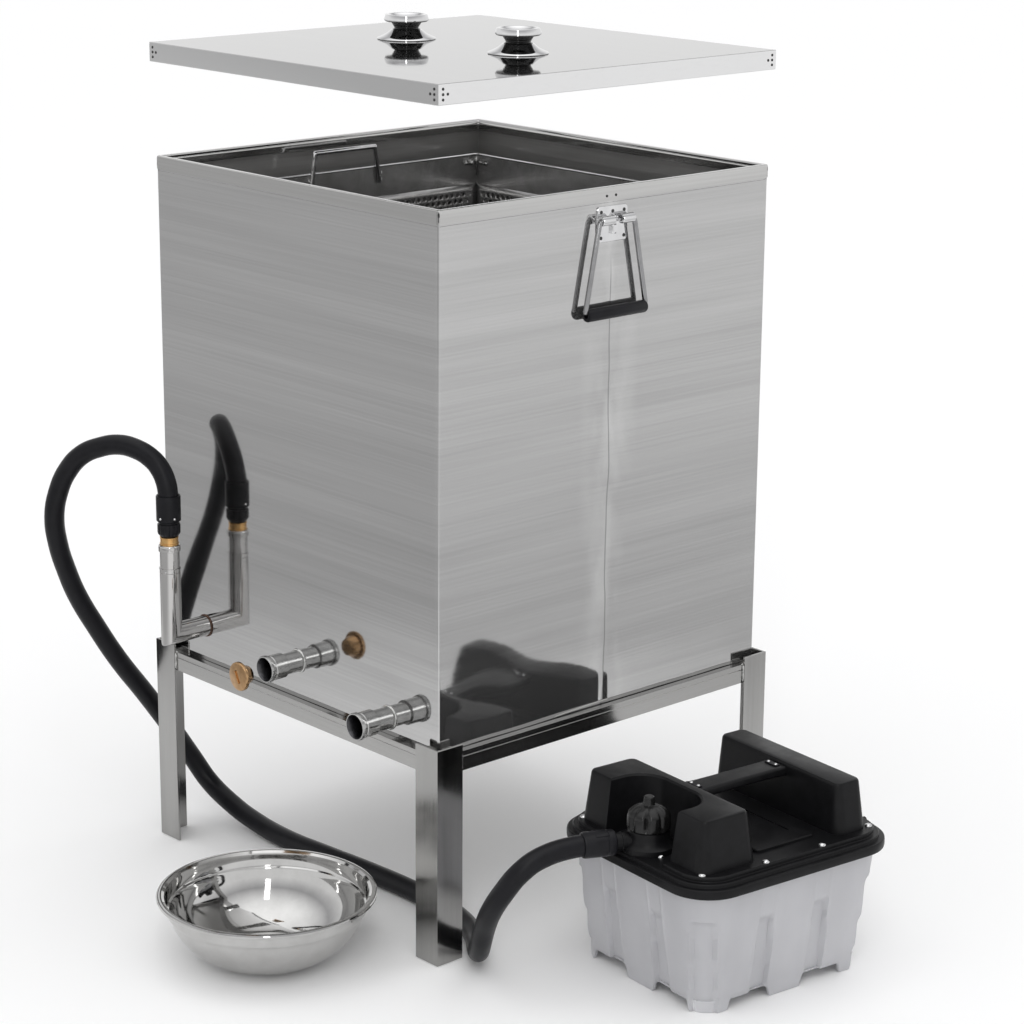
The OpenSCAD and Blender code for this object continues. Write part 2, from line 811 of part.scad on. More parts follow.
// A folded pan with a hem along the skirt's lower edge
module lid_pan() {
  half = lid_w / 2;
  skirt_bottom = lid_top - lid_skirt;
  color(chrome) tank_frame() {
    translate([-half, -half, lid_under]) cube([lid_w, lid_w, lid_t]);
    translate([0, 0, skirt_bottom]) square_ring(half, half - lid_t, lid_skirt - lid_t);
    translate([0, 0, skirt_bottom]) square_ring(half - lid_t, half - 2 * lid_t, lid_hem);
  }
}

module on_lid(side, z) {
  tank_frame() translate([side * knob_span / 2, 0, lid_top + z]) children();
}

// The knob's base is a cone that flares down to the lid
module knob_base(side) {
  color(chrome) on_lid(side, 0) rotate_extrude()
    polygon([
      [0, 0], [knob_base_d / 2, 0], [knob_base_d / 2, 1.2], [knob_waist_d / 2 + 4, knob_base_h - 1.5],
      [knob_waist_d / 2, knob_base_h], [0, knob_base_h]
    ]);
}

// The knob's waisted body, between its base and its cap
module knob_body(side) {
  h = knob_h - knob_base_h - knob_cap_h;
  waist_r = knob_waist_d / 2;
  neck_r = knob_neck_d / 2;
  color(black) on_lid(side, knob_base_h) rotate_extrude()
    polygon([[0, 0], [waist_r, 0], [waist_r + 0.8, h * 0.35], [neck_r, h * 0.8], [neck_r + 2, h], [0, h]]);
}

// The knob's dished cap, with a sunk middle
module knob_cap(side) {
  r = knob_cap_d / 2;
  sunk_r = r * 0.62;
  color(chrome) on_lid(side, knob_h - knob_cap_h) rotate_extrude()
    polygon([
      [0, 0], [knob_neck_d / 2 + 2, 0], [r, 3], [r + 0.6, 4.5], [r, 6], [r - 4, knob_cap_h],
      [sunk_r, knob_cap_h - 0.6], [sunk_r - 1, knob_cap_h - 3], [0, knob_cap_h - 3]
    ]);
}

module knob_base_left() knob_base(-1);
module knob_base_right() knob_base(1);
module knob_body_left() knob_body(-1);
module knob_body_right() knob_body(1);
module knob_cap_left() knob_cap(-1);
module knob_cap_right() knob_cap(1);

// The plug: a slotted face and a tapered stem, drawn out in front of the wax outlet
module drain_plug() {
  stem_top_d = mouth_bore - 2 * move_gap - 2 * seat_taper * move_gap;
  stem_low_d = stem_top_d - 2 * seat_taper * plug_stem;
  slot_w = 6.5;
  slot_len = 17;
  slot_turn = 28;
  slot_deep = 2.5;
  color(brass) from_front_wall(wax_x, wax_z) translate([0, 0, outlet_len + plug_out]) difference() {
    union() {
      cylinder(d = plug_d, h = plug_face_t - 1);
      translate([0, 0, plug_face_t - 1]) cylinder(d1 = plug_d, d2 = plug_d - 2, h = 1);
      translate([0, 0, -plug_stem]) cylinder(d1 = stem_low_d, d2 = stem_top_d, h = plug_stem);
    }
    translate([0, 0, plug_face_t]) rotate([0, 0, slot_turn])
      cube([slot_w, slot_len, 2 * slot_deep], center = true);
  }
}

// A tapered block with round corners between two levels
module tapered_block(low, high, low_r, high_r, z0, z1) {
  skin = 0.5;
  hull() {
    translate([0, 0, z0]) round_slab(low.x, low.y, low_r, skin, $fn = 32);
    translate([0, 0, z1 - skin]) round_slab(high.x, high.y, high_r, skin, $fn = 32);
  }
}

// One upright flute cut into a tub wall that leans out
module flute(reach, top_reach, wide) {
  lean = atan((top_reach - reach) / tub_h);
  past = 20;
  translate([0, -reach, 0]) rotate([lean, 0, 0]) {
    translate([-wide / 2, -past, -past]) cube([wide, past + flute_deep, flute_top + past]);
    translate([0, flute_deep, flute_top]) rotate([90, 0, 0]) cylinder(d = wide, h = past + flute_deep);
  }
}

// The tub: a tapered moulding with flutes, open at the top and notched round its foot
module reservoir_tub() {
  thin = 2 * tub_wall;
  low = [tub_low_w, tub_low_d];
  high = [tub_top_w, tub_top_d];
  corner_low = norm(low / 2) - tub_low_r * (sqrt(2) - 1);
  corner_high = norm(high / 2) - (cover_r - 8) * (sqrt(2) - 1);
  grow = (high - low) / tub_h;
  inner_low = low + grow * tub_floor - [thin, thin];
  color(frosted) gen_frame() difference() {
    tapered_block(low, high, tub_low_r, cover_r - 8, 0, tub_h);
    tapered_block(inner_low, high - [thin, thin] + grow, tub_low_r - tub_wall, cover_r - 12, tub_floor, tub_h + 1);
    translate([0, 0, -1])
      round_slab(low.x - thin, low.y - thin, tub_low_r - tub_wall, tub_floor - tub_floor_t + 1);
    for (turn = [0, 180], s = [-1, 1]) rotate([0, 0, turn]) {
      translate([s * flute_at, 0, 0]) flute(low.y / 2, high.y / 2, flute_w);
      rotate([0, 0, 90]) translate([s * flute_at, 0, 0]) flute(low.x / 2, high.x / 2, flute_w);
      rotate([0, 0, s * atan2(low.x, low.y)]) flute(corner_low, corner_high, corner_flute_w);
    }
    for (s = [-1, 1]) {
      translate([s * foot_notch_at, 0, 0]) cube([foot_notch_w, 2 * low.y, 2 * foot_notch_h], center = true);
      translate([0, s * foot_notch_at, 0]) cube([2 * low.x, foot_notch_w, 2 * foot_notch_h], center = true);
    }
  }
}

// A tower of the cover with drafted sides and a softened top
module tower(base, top, grow) {
  skin = 0.5;
  levels = [
    [deck_z - 1, tower_base_x, base, tower_low_r],
    [tower_top - tower_edge, tower_top_x + tower_edge / 4, top, tower_top_r],
    [tower_top, tower_top_x - tower_edge, top + [tower_edge, -tower_edge], tower_top_r]
  ];
  hull() for (level = levels) {
    span = level[2];
    translate([0, (span[0] + span[1]) / 2, level[0] - skin])
      round_slab(2 * level[1] + grow, span[1] - span[0] + grow, level[3], skin, $fn = 24);
  }
}

module towers(grow = 0) {
  tower(front_base, front_top, grow);
  tower(back_base, back_top, grow);
}

// The cover: a stepped flange, a deck with a raised panel, and two towers, the front one hollowed
// round the filler
module cover() {
  step = 7;
  panel = [196, 92, 4];
  panel_off = 11;
  color(black) gen_frame() difference() {
    union() {
      translate([0, 0, tub_h]) round_slab(cover_w, cover_d, cover_r, flange_t);
      translate([0, 0, flange_top])
        round_slab(cover_w - 2 * step, cover_d - 2 * step, cover_r - step, ledge_z - flange_top);
      translate([0, 0, flange_top])
        round_slab(cover_w - 4 * step, cover_d - 4 * step, cover_r - 2 * step, deck_rise);
      translate([-panel.x / 2, front_base[1] + panel_off, deck_z]) cube(panel);
      towers();
    }
    translate([neck_x, 0, ledge_z]) linear_extrude(tower_top) {
      translate([-recess_w / 2, -cover_d]) square([recess_w, cover_d + recess_back - recess_r]);
      translate([-recess_w / 2 + recess_r, -cover_d]) square([recess_w - 2 * recess_r, cover_d + recess_back]);
      for (s = [-1, 1]) translate([s * (recess_w / 2 - recess_r), recess_back - recess_r]) circle(recess_r);
    }
    translate([neck_x, neck_y, tub_h - 1]) cylinder(d = neck_bore, h = ledge_z - tub_h + 2);
  }
}

// Round-headed screws: two on each side of the deck, one at each of its corners and two beside the filler
module cover_screws() {
  side = cover_w / 2 - 19.5;
  corner = [cover_w / 2 - 32, cover_d / 2 - 28.5];
  beside = [-52, 31];
  side_places = [for (sx = [-1, 1], sy = [-1, 1]) [sx * side, sy * 44, deck_z]];
  corner_places = [for (sx = [-1, 1], sy = [-1, 1]) [sx * corner.x, sy * corner.y, deck_z]];
  recess_places = [for (x = beside) [neck_x + x, neck_y - 6, ledge_z]];
  color(chrome) gen_frame() for (p = concat(side_places, corner_places, recess_places)) translate(p)
    cylinder(d1 = screw_d, d2 = screw_d * 0.6, h = screw_h);
}

// The bar between the towers, cut to their drafted faces
module carry_handle() {
  reach = 12;
  below_top = 4.5;
  color(black) gen_frame() difference() {
    translate([-carry_w / 2, front_top[1] - reach, tower_top - carry_t - below_top])
      cube([carry_w, back_top[0] - front_top[1] + 2 * reach, carry_t]);
    towers(2 * weld_gap);
  }
}

module filler_neck() {
  color(black) gen_frame() translate([neck_x, neck_y, ledge_z]) difference() {
    cylinder(d = neck_d, h = neck_h);
    translate([0, 0, -1]) cylinder(d = neck_bore, h = neck_h + 2);
  }
}

// Turns a piece that is drawn along +Z onto the spout's axis
module along_spout(from) {
  gen_frame() translate([neck_x, neck_y, spout_z]) rotate([90, 0, spout_turn])
    translate([0, 0, from]) children();
}

// The steam spout leaves the side of the filler neck
module steam_spout() {
  color(black) difference() {
    along_spout(neck_d / 2 - 4) difference() {
      cylinder(d = spout_d, h = gen_collar_from - neck_d / 2 + 4);
      translate([0, 0, -1]) cylinder(d = spout_bore, h = spout_len);
    }
    gen_frame() translate([neck_x, neck_y, ledge_z]) cylinder(d = neck_d + 2 * weld_gap, h = 2 * neck_h);
  }
}

module hose_collar_generator() {
  color(black) along_spout(gen_collar_from) hose_collar(gen_collar_len);
}

// The gland for the mains lead, under the back of the cover's flange
module mains_gland() {
  gland_d = 10;
  gland_len = 12;
  gland_x = cover_w / 2 - cover_r - 26;
  place = [gland_x, cover_d / 2, tub_h + flange_t / 2];
  color(black) gen_frame() translate(place) rotate([-90, 0, 0]) difference() {
    union() {
      cylinder(d = gland_d + 2, h = 3, $fn = 6);
      cylinder(d = gland_d - 2, h = gland_len);
    }
    translate([0, 0, 3]) cylinder(d = gland_d - 5, h = gland_len);
  }
}

// A bent heating rod under the cover
module heating_element() {
  rod_d = 9;
  half = 26;
  low = 50;
  bend = 20;
  color(chrome) gen_frame() translate([0, 30, 0]) upright()
    bent_rod([[half, tub_h], [half, low], [-half, low], [-half, tub_h]], [bend, bend], rod_d);
}

// A ribbed screw cap with a button on top
module filler_cap() {
  ribs = 12;
  rib_d = 5;
  skirt_in = neck_d + 2 * move_gap;
  shoulder_d = filler_cap_d - 6;
  crown_d = filler_cap_d - 20;
  crown_h = (cap_h - cap_side_h) / 2;
  seat = neck_top + move_gap;
  color(black) gen_frame() translate([neck_x, neck_y, 0]) difference() {
    translate([0, 0, cap_grip_z]) {
      cylinder(d = filler_cap_d, h = cap_side_h);
      translate([0, 0, cap_side_h]) cylinder(d1 = filler_cap_d, d2 = shoulder_d, h = crown_h);
      translate([0, 0, cap_side_h + crown_h]) cylinder(d1 = shoulder_d, d2 = crown_d, h = crown_h);
      translate([0, 0, cap_h]) cylinder(d = button_d, h = button_h);
    }
    translate([0, 0, cap_grip_z - 1]) cylinder(d = skirt_in, h = seat - cap_grip_z + 1);
    for (k = [0:ribs - 1]) rotate([0, 0, 360 * k / ribs])
      translate([filler_cap_d / 2 + 1, 0, cap_grip_z - 1]) cylinder(d = rib_d, h = cap_h + 2);
  }
}

// Radius of the bowl's outer face at a height, from its round foot to its flared rim
function bowl_radius(z) =
  let (t = z / bowl_h)
  bowl_base_d / 2 + (bowl_d / 2 - 6 - bowl_base_d / 2) * (1 - pow(1 - t, 2.2));

// The bowl: one spun sheet with a flat base, a step under the rim and a rolled edge
module bowl() {
  steps = 9;
  roll_r = 2.5;
  step_z = bowl_h - 15;
  step_out = 3;
  outer = [
    for (i = [0:steps]) let (z = step_z * i / steps) [bowl_radius(z), z],
    [bowl_radius(step_z) + step_out, step_z + 2],
    [bowl_d / 2 - roll_r, bowl_h - roll_r]
  ];
  inner = [for (i = [len(outer) - 1:-1:0]) [outer[i].x - bowl_t, max(outer[i].y, bowl_t)]];
  color(chrome) tank_frame() translate([bowl_x, bowl_y, 0]) rotate_extrude($fn = 96) {
    polygon(concat([[0, 0]], outer, inner, [[0, bowl_t]]));
    translate([bowl_d / 2 - roll_r, bowl_h - roll_r]) circle(roll_r);
  }
}

tank_shell();
tank_front();
rim_band();
tank_floor();
basket_runner_left();
basket_runner_right();
wax_outlet();
water_outlet();
steam_elbow();
riser_socket();
brass_adapter();
hose_nut();
hose_collar_tank();
steam_hose();
hose_collar_generator();
leg_front_left();
leg_front_right();
leg_back_left();
leg_back_right();
rail_front();
rail_back();
rail_left();
rail_right();
handle_plate_left();
handle_plate_right();
bail_left();
bail_right();
grip_left();
grip_right();
basket_band();
basket_panel_front();
basket_panel_back();
basket_panel_left();
basket_panel_right();
basket_floor();
basket_post_front_left();
basket_post_front_right();
basket_post_back_left();
basket_post_back_right();
basket_handle_left();
basket_handle_right();
lid_pan();
knob_base_left();
knob_base_right();
knob_body_left();
knob_body_right();
knob_cap_left();
knob_cap_right();
drain_plug();
reservoir_tub();
cover();
cover_screws();
carry_handle();
filler_neck();
steam_spout();
mains_gland();
heating_element();
filler_cap();
bowl();
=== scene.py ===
import json
import math

import bmesh
import bpy
from mathutils import Matrix, Vector
from mathutils import noise as smooth_noise
from mathutils.geometry import delaunay_2d_cdt

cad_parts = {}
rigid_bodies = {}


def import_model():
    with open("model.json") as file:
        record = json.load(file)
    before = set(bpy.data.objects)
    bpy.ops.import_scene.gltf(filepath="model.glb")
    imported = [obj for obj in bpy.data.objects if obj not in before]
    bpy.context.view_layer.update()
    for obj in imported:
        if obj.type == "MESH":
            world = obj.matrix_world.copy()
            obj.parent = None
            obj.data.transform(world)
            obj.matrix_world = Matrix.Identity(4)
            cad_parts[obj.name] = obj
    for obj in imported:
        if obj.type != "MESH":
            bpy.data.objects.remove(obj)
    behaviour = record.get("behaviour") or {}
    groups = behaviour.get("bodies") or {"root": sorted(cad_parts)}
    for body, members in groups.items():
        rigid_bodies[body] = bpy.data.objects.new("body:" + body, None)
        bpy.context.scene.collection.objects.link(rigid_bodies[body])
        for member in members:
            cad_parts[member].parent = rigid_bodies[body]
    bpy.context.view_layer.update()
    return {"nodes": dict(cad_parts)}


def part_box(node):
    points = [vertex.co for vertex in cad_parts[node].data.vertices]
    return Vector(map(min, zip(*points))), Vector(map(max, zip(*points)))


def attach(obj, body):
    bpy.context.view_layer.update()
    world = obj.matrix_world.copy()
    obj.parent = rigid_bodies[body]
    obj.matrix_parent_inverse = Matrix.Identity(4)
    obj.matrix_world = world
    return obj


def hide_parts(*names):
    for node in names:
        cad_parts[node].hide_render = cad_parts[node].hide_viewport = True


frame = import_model()
nodes = frame["nodes"]

MM = 0.001
TANK_AT = Vector((-0.178, 0.13225, 0.0))
GEN_AT = Vector((492.9, -7.7, 0.0))
GEN_YAW = math.radians(-5.8)


def tank_point(x, y, z):
    """A point of the tank's own frame, in millimetres, as a point of the shared frame."""
    return Vector((x, y, z)) * MM + TANK_AT


def tank_frame():
    """The tank's own frame, in millimetres, as a matrix."""
    return Matrix.Translation(TANK_AT) @ Matrix.Scale(MM, 4)


def gen_frame():
    """The steam generator's own frame, in millimetres, as a matrix."""
    return tank_frame() @ Matrix.Translation(GEN_AT) @ Matrix.Rotation(GEN_YAW, 4, "Z")


# Shader helpers


def feed(tree, socket, value):
    """Gives a socket a value or another node's output."""
    if isinstance(value, bpy.types.NodeSocket):
        tree.links.new(value, socket)
    else:
        socket.default_value = value


def put(tree, kind, props=None, **sockets):
    """Adds a shader node; a socket takes a value or another node's output."""
    made = tree.nodes.new("ShaderNode" + kind)
    for key, value in (props or {}).items():
        setattr(made, key, value)
    for key, value in sockets.items():
        feed(tree, made.inputs[key], value)
    return made


def calc(tree, operation, *values):
    """One step of arithmetic on values or other nodes' outputs."""
    made = put(tree, "Math", {"operation": operation})
    for socket, value in zip(made.inputs, values):
        feed(tree, socket, value)
    return made.outputs[0]


def shader(name):
    """A new material with its tree and its main shader."""
    mat = bpy.data.materials.new(name)
    mat.use_nodes = True
    return mat, mat.node_tree, mat.node_tree.nodes["Principled BSDF"]


def grain(tree, stretch, detail=3.0, rough=0.55):
    """Noise over the object's own coordinates, with so many cycles to the metre along each axis."""
    place = put(tree, "TexCoord").outputs["Object"]
    mapped = put(tree, "Mapping", Vector=place, Scale=stretch).outputs["Vector"]
    made = put(tree, "TexNoise", Vector=mapped, Scale=1.0, Detail=detail, Roughness=rough)
    return made.outputs["Fac"]


def spread(tree, value, low, high, clip=(0.3, 0.7)):
    """Maps a noise value from its usual range to a range of the material."""
    made = put(tree, "MapRange", Value=value)
    made.inputs["From Min"].default_value = clip[0]
    made.inputs["From Max"].default_value = clip[1]
    made.inputs["To Min"].default_value = low
    made.inputs["To Max"].default_value = high
    return made.outputs["Result"]


def two_tone(tree, factor, dark, light):
    """A colour between two tones, the first of which may be another node's output."""
    made = put(tree, "Mix", {"data_type": "RGBA"}, Factor=factor)
    first, second = [s for s in made.inputs if s.type == "RGBA"]
    feed(tree, first, dark if isinstance(dark, bpy.types.NodeSocket) else (*dark, 1.0))
    second.default_value = (*light, 1.0)
    return [s for s in made.outputs if s.type == "RGBA"][0]


def bump(tree, bsdf, height, distance, strength=1.0):
    """Gives the shader a bump of a height in metres, over any bump that it has already."""
    made = put(tree, "Bump", Height=height, Distance=distance, Strength=strength)
    if bsdf.inputs["Normal"].is_linked:
        tree.links.new(bsdf.inputs["Normal"].links[0].from_socket, made.inputs["Normal"])
    tree.links.new(made.outputs["Normal"], bsdf.inputs["Normal"])


STREAKS = {
    "X": ((3, 60, 260), (1, 12, 30)),
    "Z": ((220, 220, 4), (30, 30, 1.5)),
    "XY": ((2.6, 2.6, 420), (0.9, 0.9, 34)),
}


def steel(name, tone, rough, along, contrast=0.08, metal=1.0):
    """Sheet steel with rolling streaks along one axis."""
    mat, tree, bsdf = shader(name)
    bsdf.inputs["Metallic"].default_value = metal
    fine, coarse = STREAKS[along]
    lines = grain(tree, fine, 4.0, 0.6)
    clouds = grain(tree, coarse, 2.0, 0.5)
    half = spread(tree, calc(tree, "ADD", lines, clouds), 0.0, 1.0, (0.7, 1.3))
    dark = [c * (1.0 - contrast) for c in tone]
    light = [min(1.0, c * (1.0 + contrast)) for c in tone]
    tree.links.new(two_tone(tree, half, dark, light), bsdf.inputs["Base Color"])
    tree.links.new(spread(tree, half, rough * 0.75, rough * 1.35, (0.0, 1.0)), bsdf.inputs["Roughness"])
    bump(tree, bsdf, lines, 0.00001)
    return mat


# The right wall's fold, in metres: where that wall begins along X, how far the fold wanders to each side, the
# half widths over which its painted pale sheen and its painted dark shade line fade, and the heights over
# which the line ends

RIGHT_WALL_X = (0.085, 0.09)
FOLD_WANDER = 0.004
FOLD_PAINTED_SHEEN = (0.0, 0.05)
FOLD_PAINTED_SHADE = (0.0004, 0.0014)
FOLD_TOP = (0.80, 0.84)


def fold_painted_light(mat):
    """The right wall's finish: duller, with a painted pale, cloudy sheen and a painted dark shade line along
    the sheet's fold.
    """
    tree = mat.node_tree
    bsdf = tree.nodes["Principled BSDF"]
    place = put(tree, "SeparateXYZ", Vector=put(tree, "TexCoord").outputs["Object"]).outputs
    course = grain(tree, (0, 0, 6), 2.0, 0.5)
    course = spread(tree, course, TANK_AT.y - FOLD_WANDER, TANK_AT.y + FOLD_WANDER)
    gap = calc(tree, "ABSOLUTE", calc(tree, "SUBTRACT", place["Y"], course))
    side = spread(tree, place["X"], 0.0, 1.0, RIGHT_WALL_X)
    tree.links.new(spread(tree, side, 0.99, 0.93, (0.0, 1.0)), bsdf.inputs["Metallic"])
    # Painted sheen: pale clouds in a band along the fold, standing in for its reflection.
    clouds = spread(tree, grain(tree, (8, 20, 7), 3.0, 0.5), 0.0, 0.8, (0.42, 0.66))
    band = calc(tree, "MULTIPLY", clouds, spread(tree, gap, 1.0, 0.0, FOLD_PAINTED_SHEEN))
    # Painted shade: a dark line in the fold, fading out below the rim.
    below = spread(tree, place["Z"], 1.0, 0.0, FOLD_TOP)
    line = calc(tree, "MULTIPLY", spread(tree, gap, 0.55, 0.0, FOLD_PAINTED_SHADE), below)
    tone = bsdf.inputs["Base Color"].links[0].from_socket
    for share, colour in ((band, (0.68, 0.68, 0.675)), (line, (0.13, 0.13, 0.13))):
        tone = two_tone(tree, calc(tree, "MULTIPLY", share, side), tone, colour)
    tree.links.new(tone, bsdf.inputs["Base Color"])


def lid_painted_light(name, top, side):
    """Polished sheet with painted light: its flat top painted darker and its folded skirt painted lighter, by
    the way each face turns.
    """
    mat, tree, bsdf = shader(name)
    bsdf.inputs["Metallic"].default_value = 1.0
    normal = put(tree, "NewGeometry").outputs["Normal"]
    up = put(tree, "SeparateXYZ", Vector=normal).outputs["Z"]
    streaks = spread(tree, grain(tree, STREAKS["X"][0], 4.0, 0.6), -0.04, 0.04)
    # Painted light: faces that turn up take the darker top tone, upright faces the lighter skirt tone.
    tone = two_tone(tree, calc(tree, "ADD", up, streaks), side, top)
    tree.links.new(tone, bsdf.inputs["Base Color"])
    tree.links.new(spread(tree, streaks, 0.035, 0.05, (-0.04, 0.04)), bsdf.inputs["Roughness"])
    return mat


def mottled(name, dark, light, rough, scale, metal=0.0, bump_height=0.0, gloss=0.5):
    """A material whose colour and gloss vary in small clouds, with a fine grain in its surface."""
    mat, tree, bsdf = shader(name)
    bsdf.inputs["Metallic"].default_value = metal
    bsdf.inputs["Specular IOR Level"].default_value = gloss
    clouds = grain(tree, (scale, scale, scale), 4.0, 0.6)
    factor = spread(tree, clouds, 0.0, 1.0)
    tree.links.new(two_tone(tree, factor, dark, light), bsdf.inputs["Base Color"])
    tree.links.new(spread(tree, factor, rough * 0.85, rough * 1.15, (0.0, 1.0)), bsdf.inputs["Roughness"])
    if bump_height:
        fine = grain(tree, (scale * 9, scale * 9, scale * 9), 2.0, 0.5)
        bump(tree, bsdf, fine, bump_height)
    return mat


def frosted(name):
    """Milky moulded plastic that lets light through."""
    mat, tree, bsdf = shader(name)
    clouds = spread(tree, grain(tree, (14, 14, 8), 3.0, 0.5), 0.0, 1.0)
    tone = two_tone(tree, clouds, (0.62, 0.62, 0.645), (0.71, 0.71, 0.735))
    tree.links.new(tone, bsdf.inputs["Base Color"])
    tree.links.new(spread(tree, clouds, 0.38, 0.5, (0.0, 1.0)), bsdf.inputs["Roughness"])
    bsdf.inputs["Transmission Weight"].default_value = 0.35
    bsdf.inputs["IOR"].default_value = 1.45
    bump(tree, bsdf, grain(tree, (420, 420, 420), 2.0, 0.5), 0.00003)
    return mat


WALL_STEEL = steel("wall_steel", (0.475, 0.473, 0.471), 0.05, "XY", 0.09)
fold_painted_light(WALL_STEEL)
RIM_STEEL = steel("rim_steel", (0.50, 0.497, 0.49), 0.10, "XY")
INNER_STEEL = steel("inner_steel", (0.50, 0.495, 0.485), 0.16, "XY", 0.08, 0.6)
STAND_STEEL = steel("stand_steel", (0.36, 0.357, 0.35), 0.16, "Z")
RAIL_STEEL = steel("rail_steel", (0.37, 0.367, 0.36), 0.10, "XY", 0.08, 0.97)
LID_PAINTED_LIGHT_STEEL = lid_painted_light("lid_steel", (0.35, 0.348, 0.345), (0.74, 0.74, 0.74))
BASKET_STEEL = mottled("basket_steel", (0.46, 0.455, 0.45), (0.58, 0.575, 0.57), 0.22, 40, 0.8)
OUTLET_STEEL = mottled("outlet_steel", (0.36, 0.36, 0.355), (0.44, 0.44, 0.435), 0.17, 60, 1.0, 0.00001)
# Painted shade for the bores of the outlets.
THROAT_PAINTED_SHADE = mottled("throat_painted_shade", (0.06, 0.06, 0.065), (0.10, 0.10, 0.105), 0.3, 60, 1.0)
WELD_STEEL = mottled("weld_steel", (0.40, 0.40, 0.39), (0.66, 0.66, 0.65), 0.2, 160, 1.0, 0.0001)
BURNT_STEEL = mottled("burnt_steel", (0.07, 0.045, 0.035), (0.16, 0.10, 0.075), 0.35, 160, 1.0, 0.0001)
PIPE_STEEL = steel("pipe_steel", (0.50, 0.493, 0.485), 0.07, "Z", 0.03)
CHROME = mottled("chrome", (0.62, 0.62, 0.625), (0.70, 0.70, 0.705), 0.04, 60, 1.0)
DARK_CHROME = mottled("dark_chrome", (0.24, 0.24, 0.245), (0.32, 0.32, 0.325), 0.09, 60, 1.0)
# Near-black painted shade for the rivet heads, the lid's spot-weld heads and the rim's corner fold seams.
DOT_PAINTED_SHADE = mottled("dot_painted_shade", (0.02, 0.02, 0.02), (0.07, 0.07, 0.07), 0.3, 200, 0.6)
BOWL_STEEL = mottled("bowl_steel", (0.47, 0.467, 0.46), (0.55, 0.547, 0.54), 0.06, 30, 1.0)
BRASS = mottled("brass", (0.52, 0.29, 0.10), (0.70, 0.44, 0.19), 0.18, 120, 1.0, 0.00003)
BRONZE = mottled("bronze", (0.33, 0.20, 0.10), (0.47, 0.30, 0.16), 0.2, 140, 1.0, 0.00002)
COVER_BLACK = mottled(
    "cover_black", (0.005, 0.005, 0.0055), (0.008, 0.008, 0.009), 0.36, 60, 0.0, 0.00004, 0.17
)
RUBBER = mottled("rubber", (0.0045, 0.0045, 0.006), (0.0075, 0.0075, 0.01), 0.38, 80, 0.0, 0.00004, 0.2)
KNOB_BLACK = mottled("knob_black", (0.006, 0.006, 0.006), (0.010, 0.010, 0.010), 0.2, 80, 0.0, 0.0, 0.35)
TUB_PLASTIC = frosted("tub_plastic")


# Mesh helpers


def mesh_of(name, build):
    """A mesh from a bmesh that is finished with."""
    bmesh.ops.recalc_face_normals(build, faces=build.faces)
    mesh = bpy.data.meshes.new(name)
    build.to_mesh(mesh)
    build.free()
    return mesh


def faces_of(name, points, faces):
    """A mesh from points and faces, with coinciding points joined."""
    build = bmesh.new()
    verts = [build.verts.new(p) for p in points]
    for face in faces:
        build.faces.new([verts[i] for i in face])
    bmesh.ops.remove_doubles(build, verts=build.verts, dist=0.01)
    return mesh_of(name, build)


def skin(name, rings, closed=False):
    """A mesh over rings of equal count: capped at both ends, or joined from the last ring to the first."""
    count = len(rings[0])
    points = [tuple(spot) for ring in rings for spot in ring]
    faces = []
    for i in range(len(rings) if closed else len(rings) - 1):
        low, high = i * count, (i + 1) % len(rings) * count
        for k in range(count):
            nxt = (k + 1) % count
            faces.append((low + k, low + nxt, high + nxt, high + k))
    if not closed:
        faces.append(tuple(range(count)))
        faces.append(tuple(len(points) - count + k for k in range(count)))
    return faces_of(name, points, faces)


def joined(name, meshes):
    """Several meshes as one."""
    build = bmesh.new()
    for mesh in meshes:
        build.from_mesh(mesh)
        bpy.data.meshes.remove(mesh)
    mesh = bpy.data.meshes.new(name)
    build.to_mesh(mesh)
    build.free()
    return mesh


def placed(mesh, matrix):
    """The same mesh, moved; a mirroring matrix keeps its faces turned out."""
    mesh.transform(matrix)
    if matrix.determinant() < 0:
        mesh.flip_normals()
    return mesh


def piece(name, mesh, material, body, replaced=(), sharp=32.0):
    """Shows a finished mesh as a named piece that rides on a body and stands for some nodes."""
    mesh.materials.append(material)
    mesh.polygons.foreach_set("use_smooth", [True] * len(mesh.polygons))
    mesh.set_sharp_from_angle(angle=math.radians(sharp))
    made = bpy.data.objects.new(name, mesh)
    bpy.context.scene.collection.objects.link(made)
    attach(made, body)
    if replaced:
        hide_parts(*replaced)
    return made


def lathe(profile, steps=56, lobes=0, lobe_deep=0.0):
    """A turned mesh round +Z from (radius, height) points; lobes cut flutes where a third value is set."""
    points, rings = [], []
    for spot in profile:
        radius, height = spot[0], spot[1]
        cut = spot[2] if len(spot) > 2 else 0.0
        if radius < 1e-6:
            rings.append([len(points)])
            points.append((0.0, 0.0, height))
            continue
        ring = []
        for k in range(steps):
            angle = 2.0 * math.pi * k / steps
            wave = max(0.0, math.cos(lobes * angle)) ** 2 if lobes else 0.0
            reach = radius - lobe_deep * cut * wave
            ring.append(len(points))
            points.append((reach * math.cos(angle), reach * math.sin(angle), height))
        rings.append(ring)
    faces = []
    for low, high in zip(rings, rings[1:]):
        for k in range(steps):
            nxt = (k + 1) % steps
            if len(low) == 1 and len(high) == 1:
                continue
            if len(low) == 1:
                faces.append((low[0], high[nxt], high[k]))
            elif len(high) == 1:
                faces.append((low[k], low[nxt], high[0]))
            else:
                faces.append((low[k], low[nxt], high[nxt], high[k]))
    return faces_of("lathe", points, faces)


def hollow(profile, steps=56):
    """A turned ring: the profile runs round and closes on its first point."""
    return lathe(list(profile) + [profile[0]], steps)


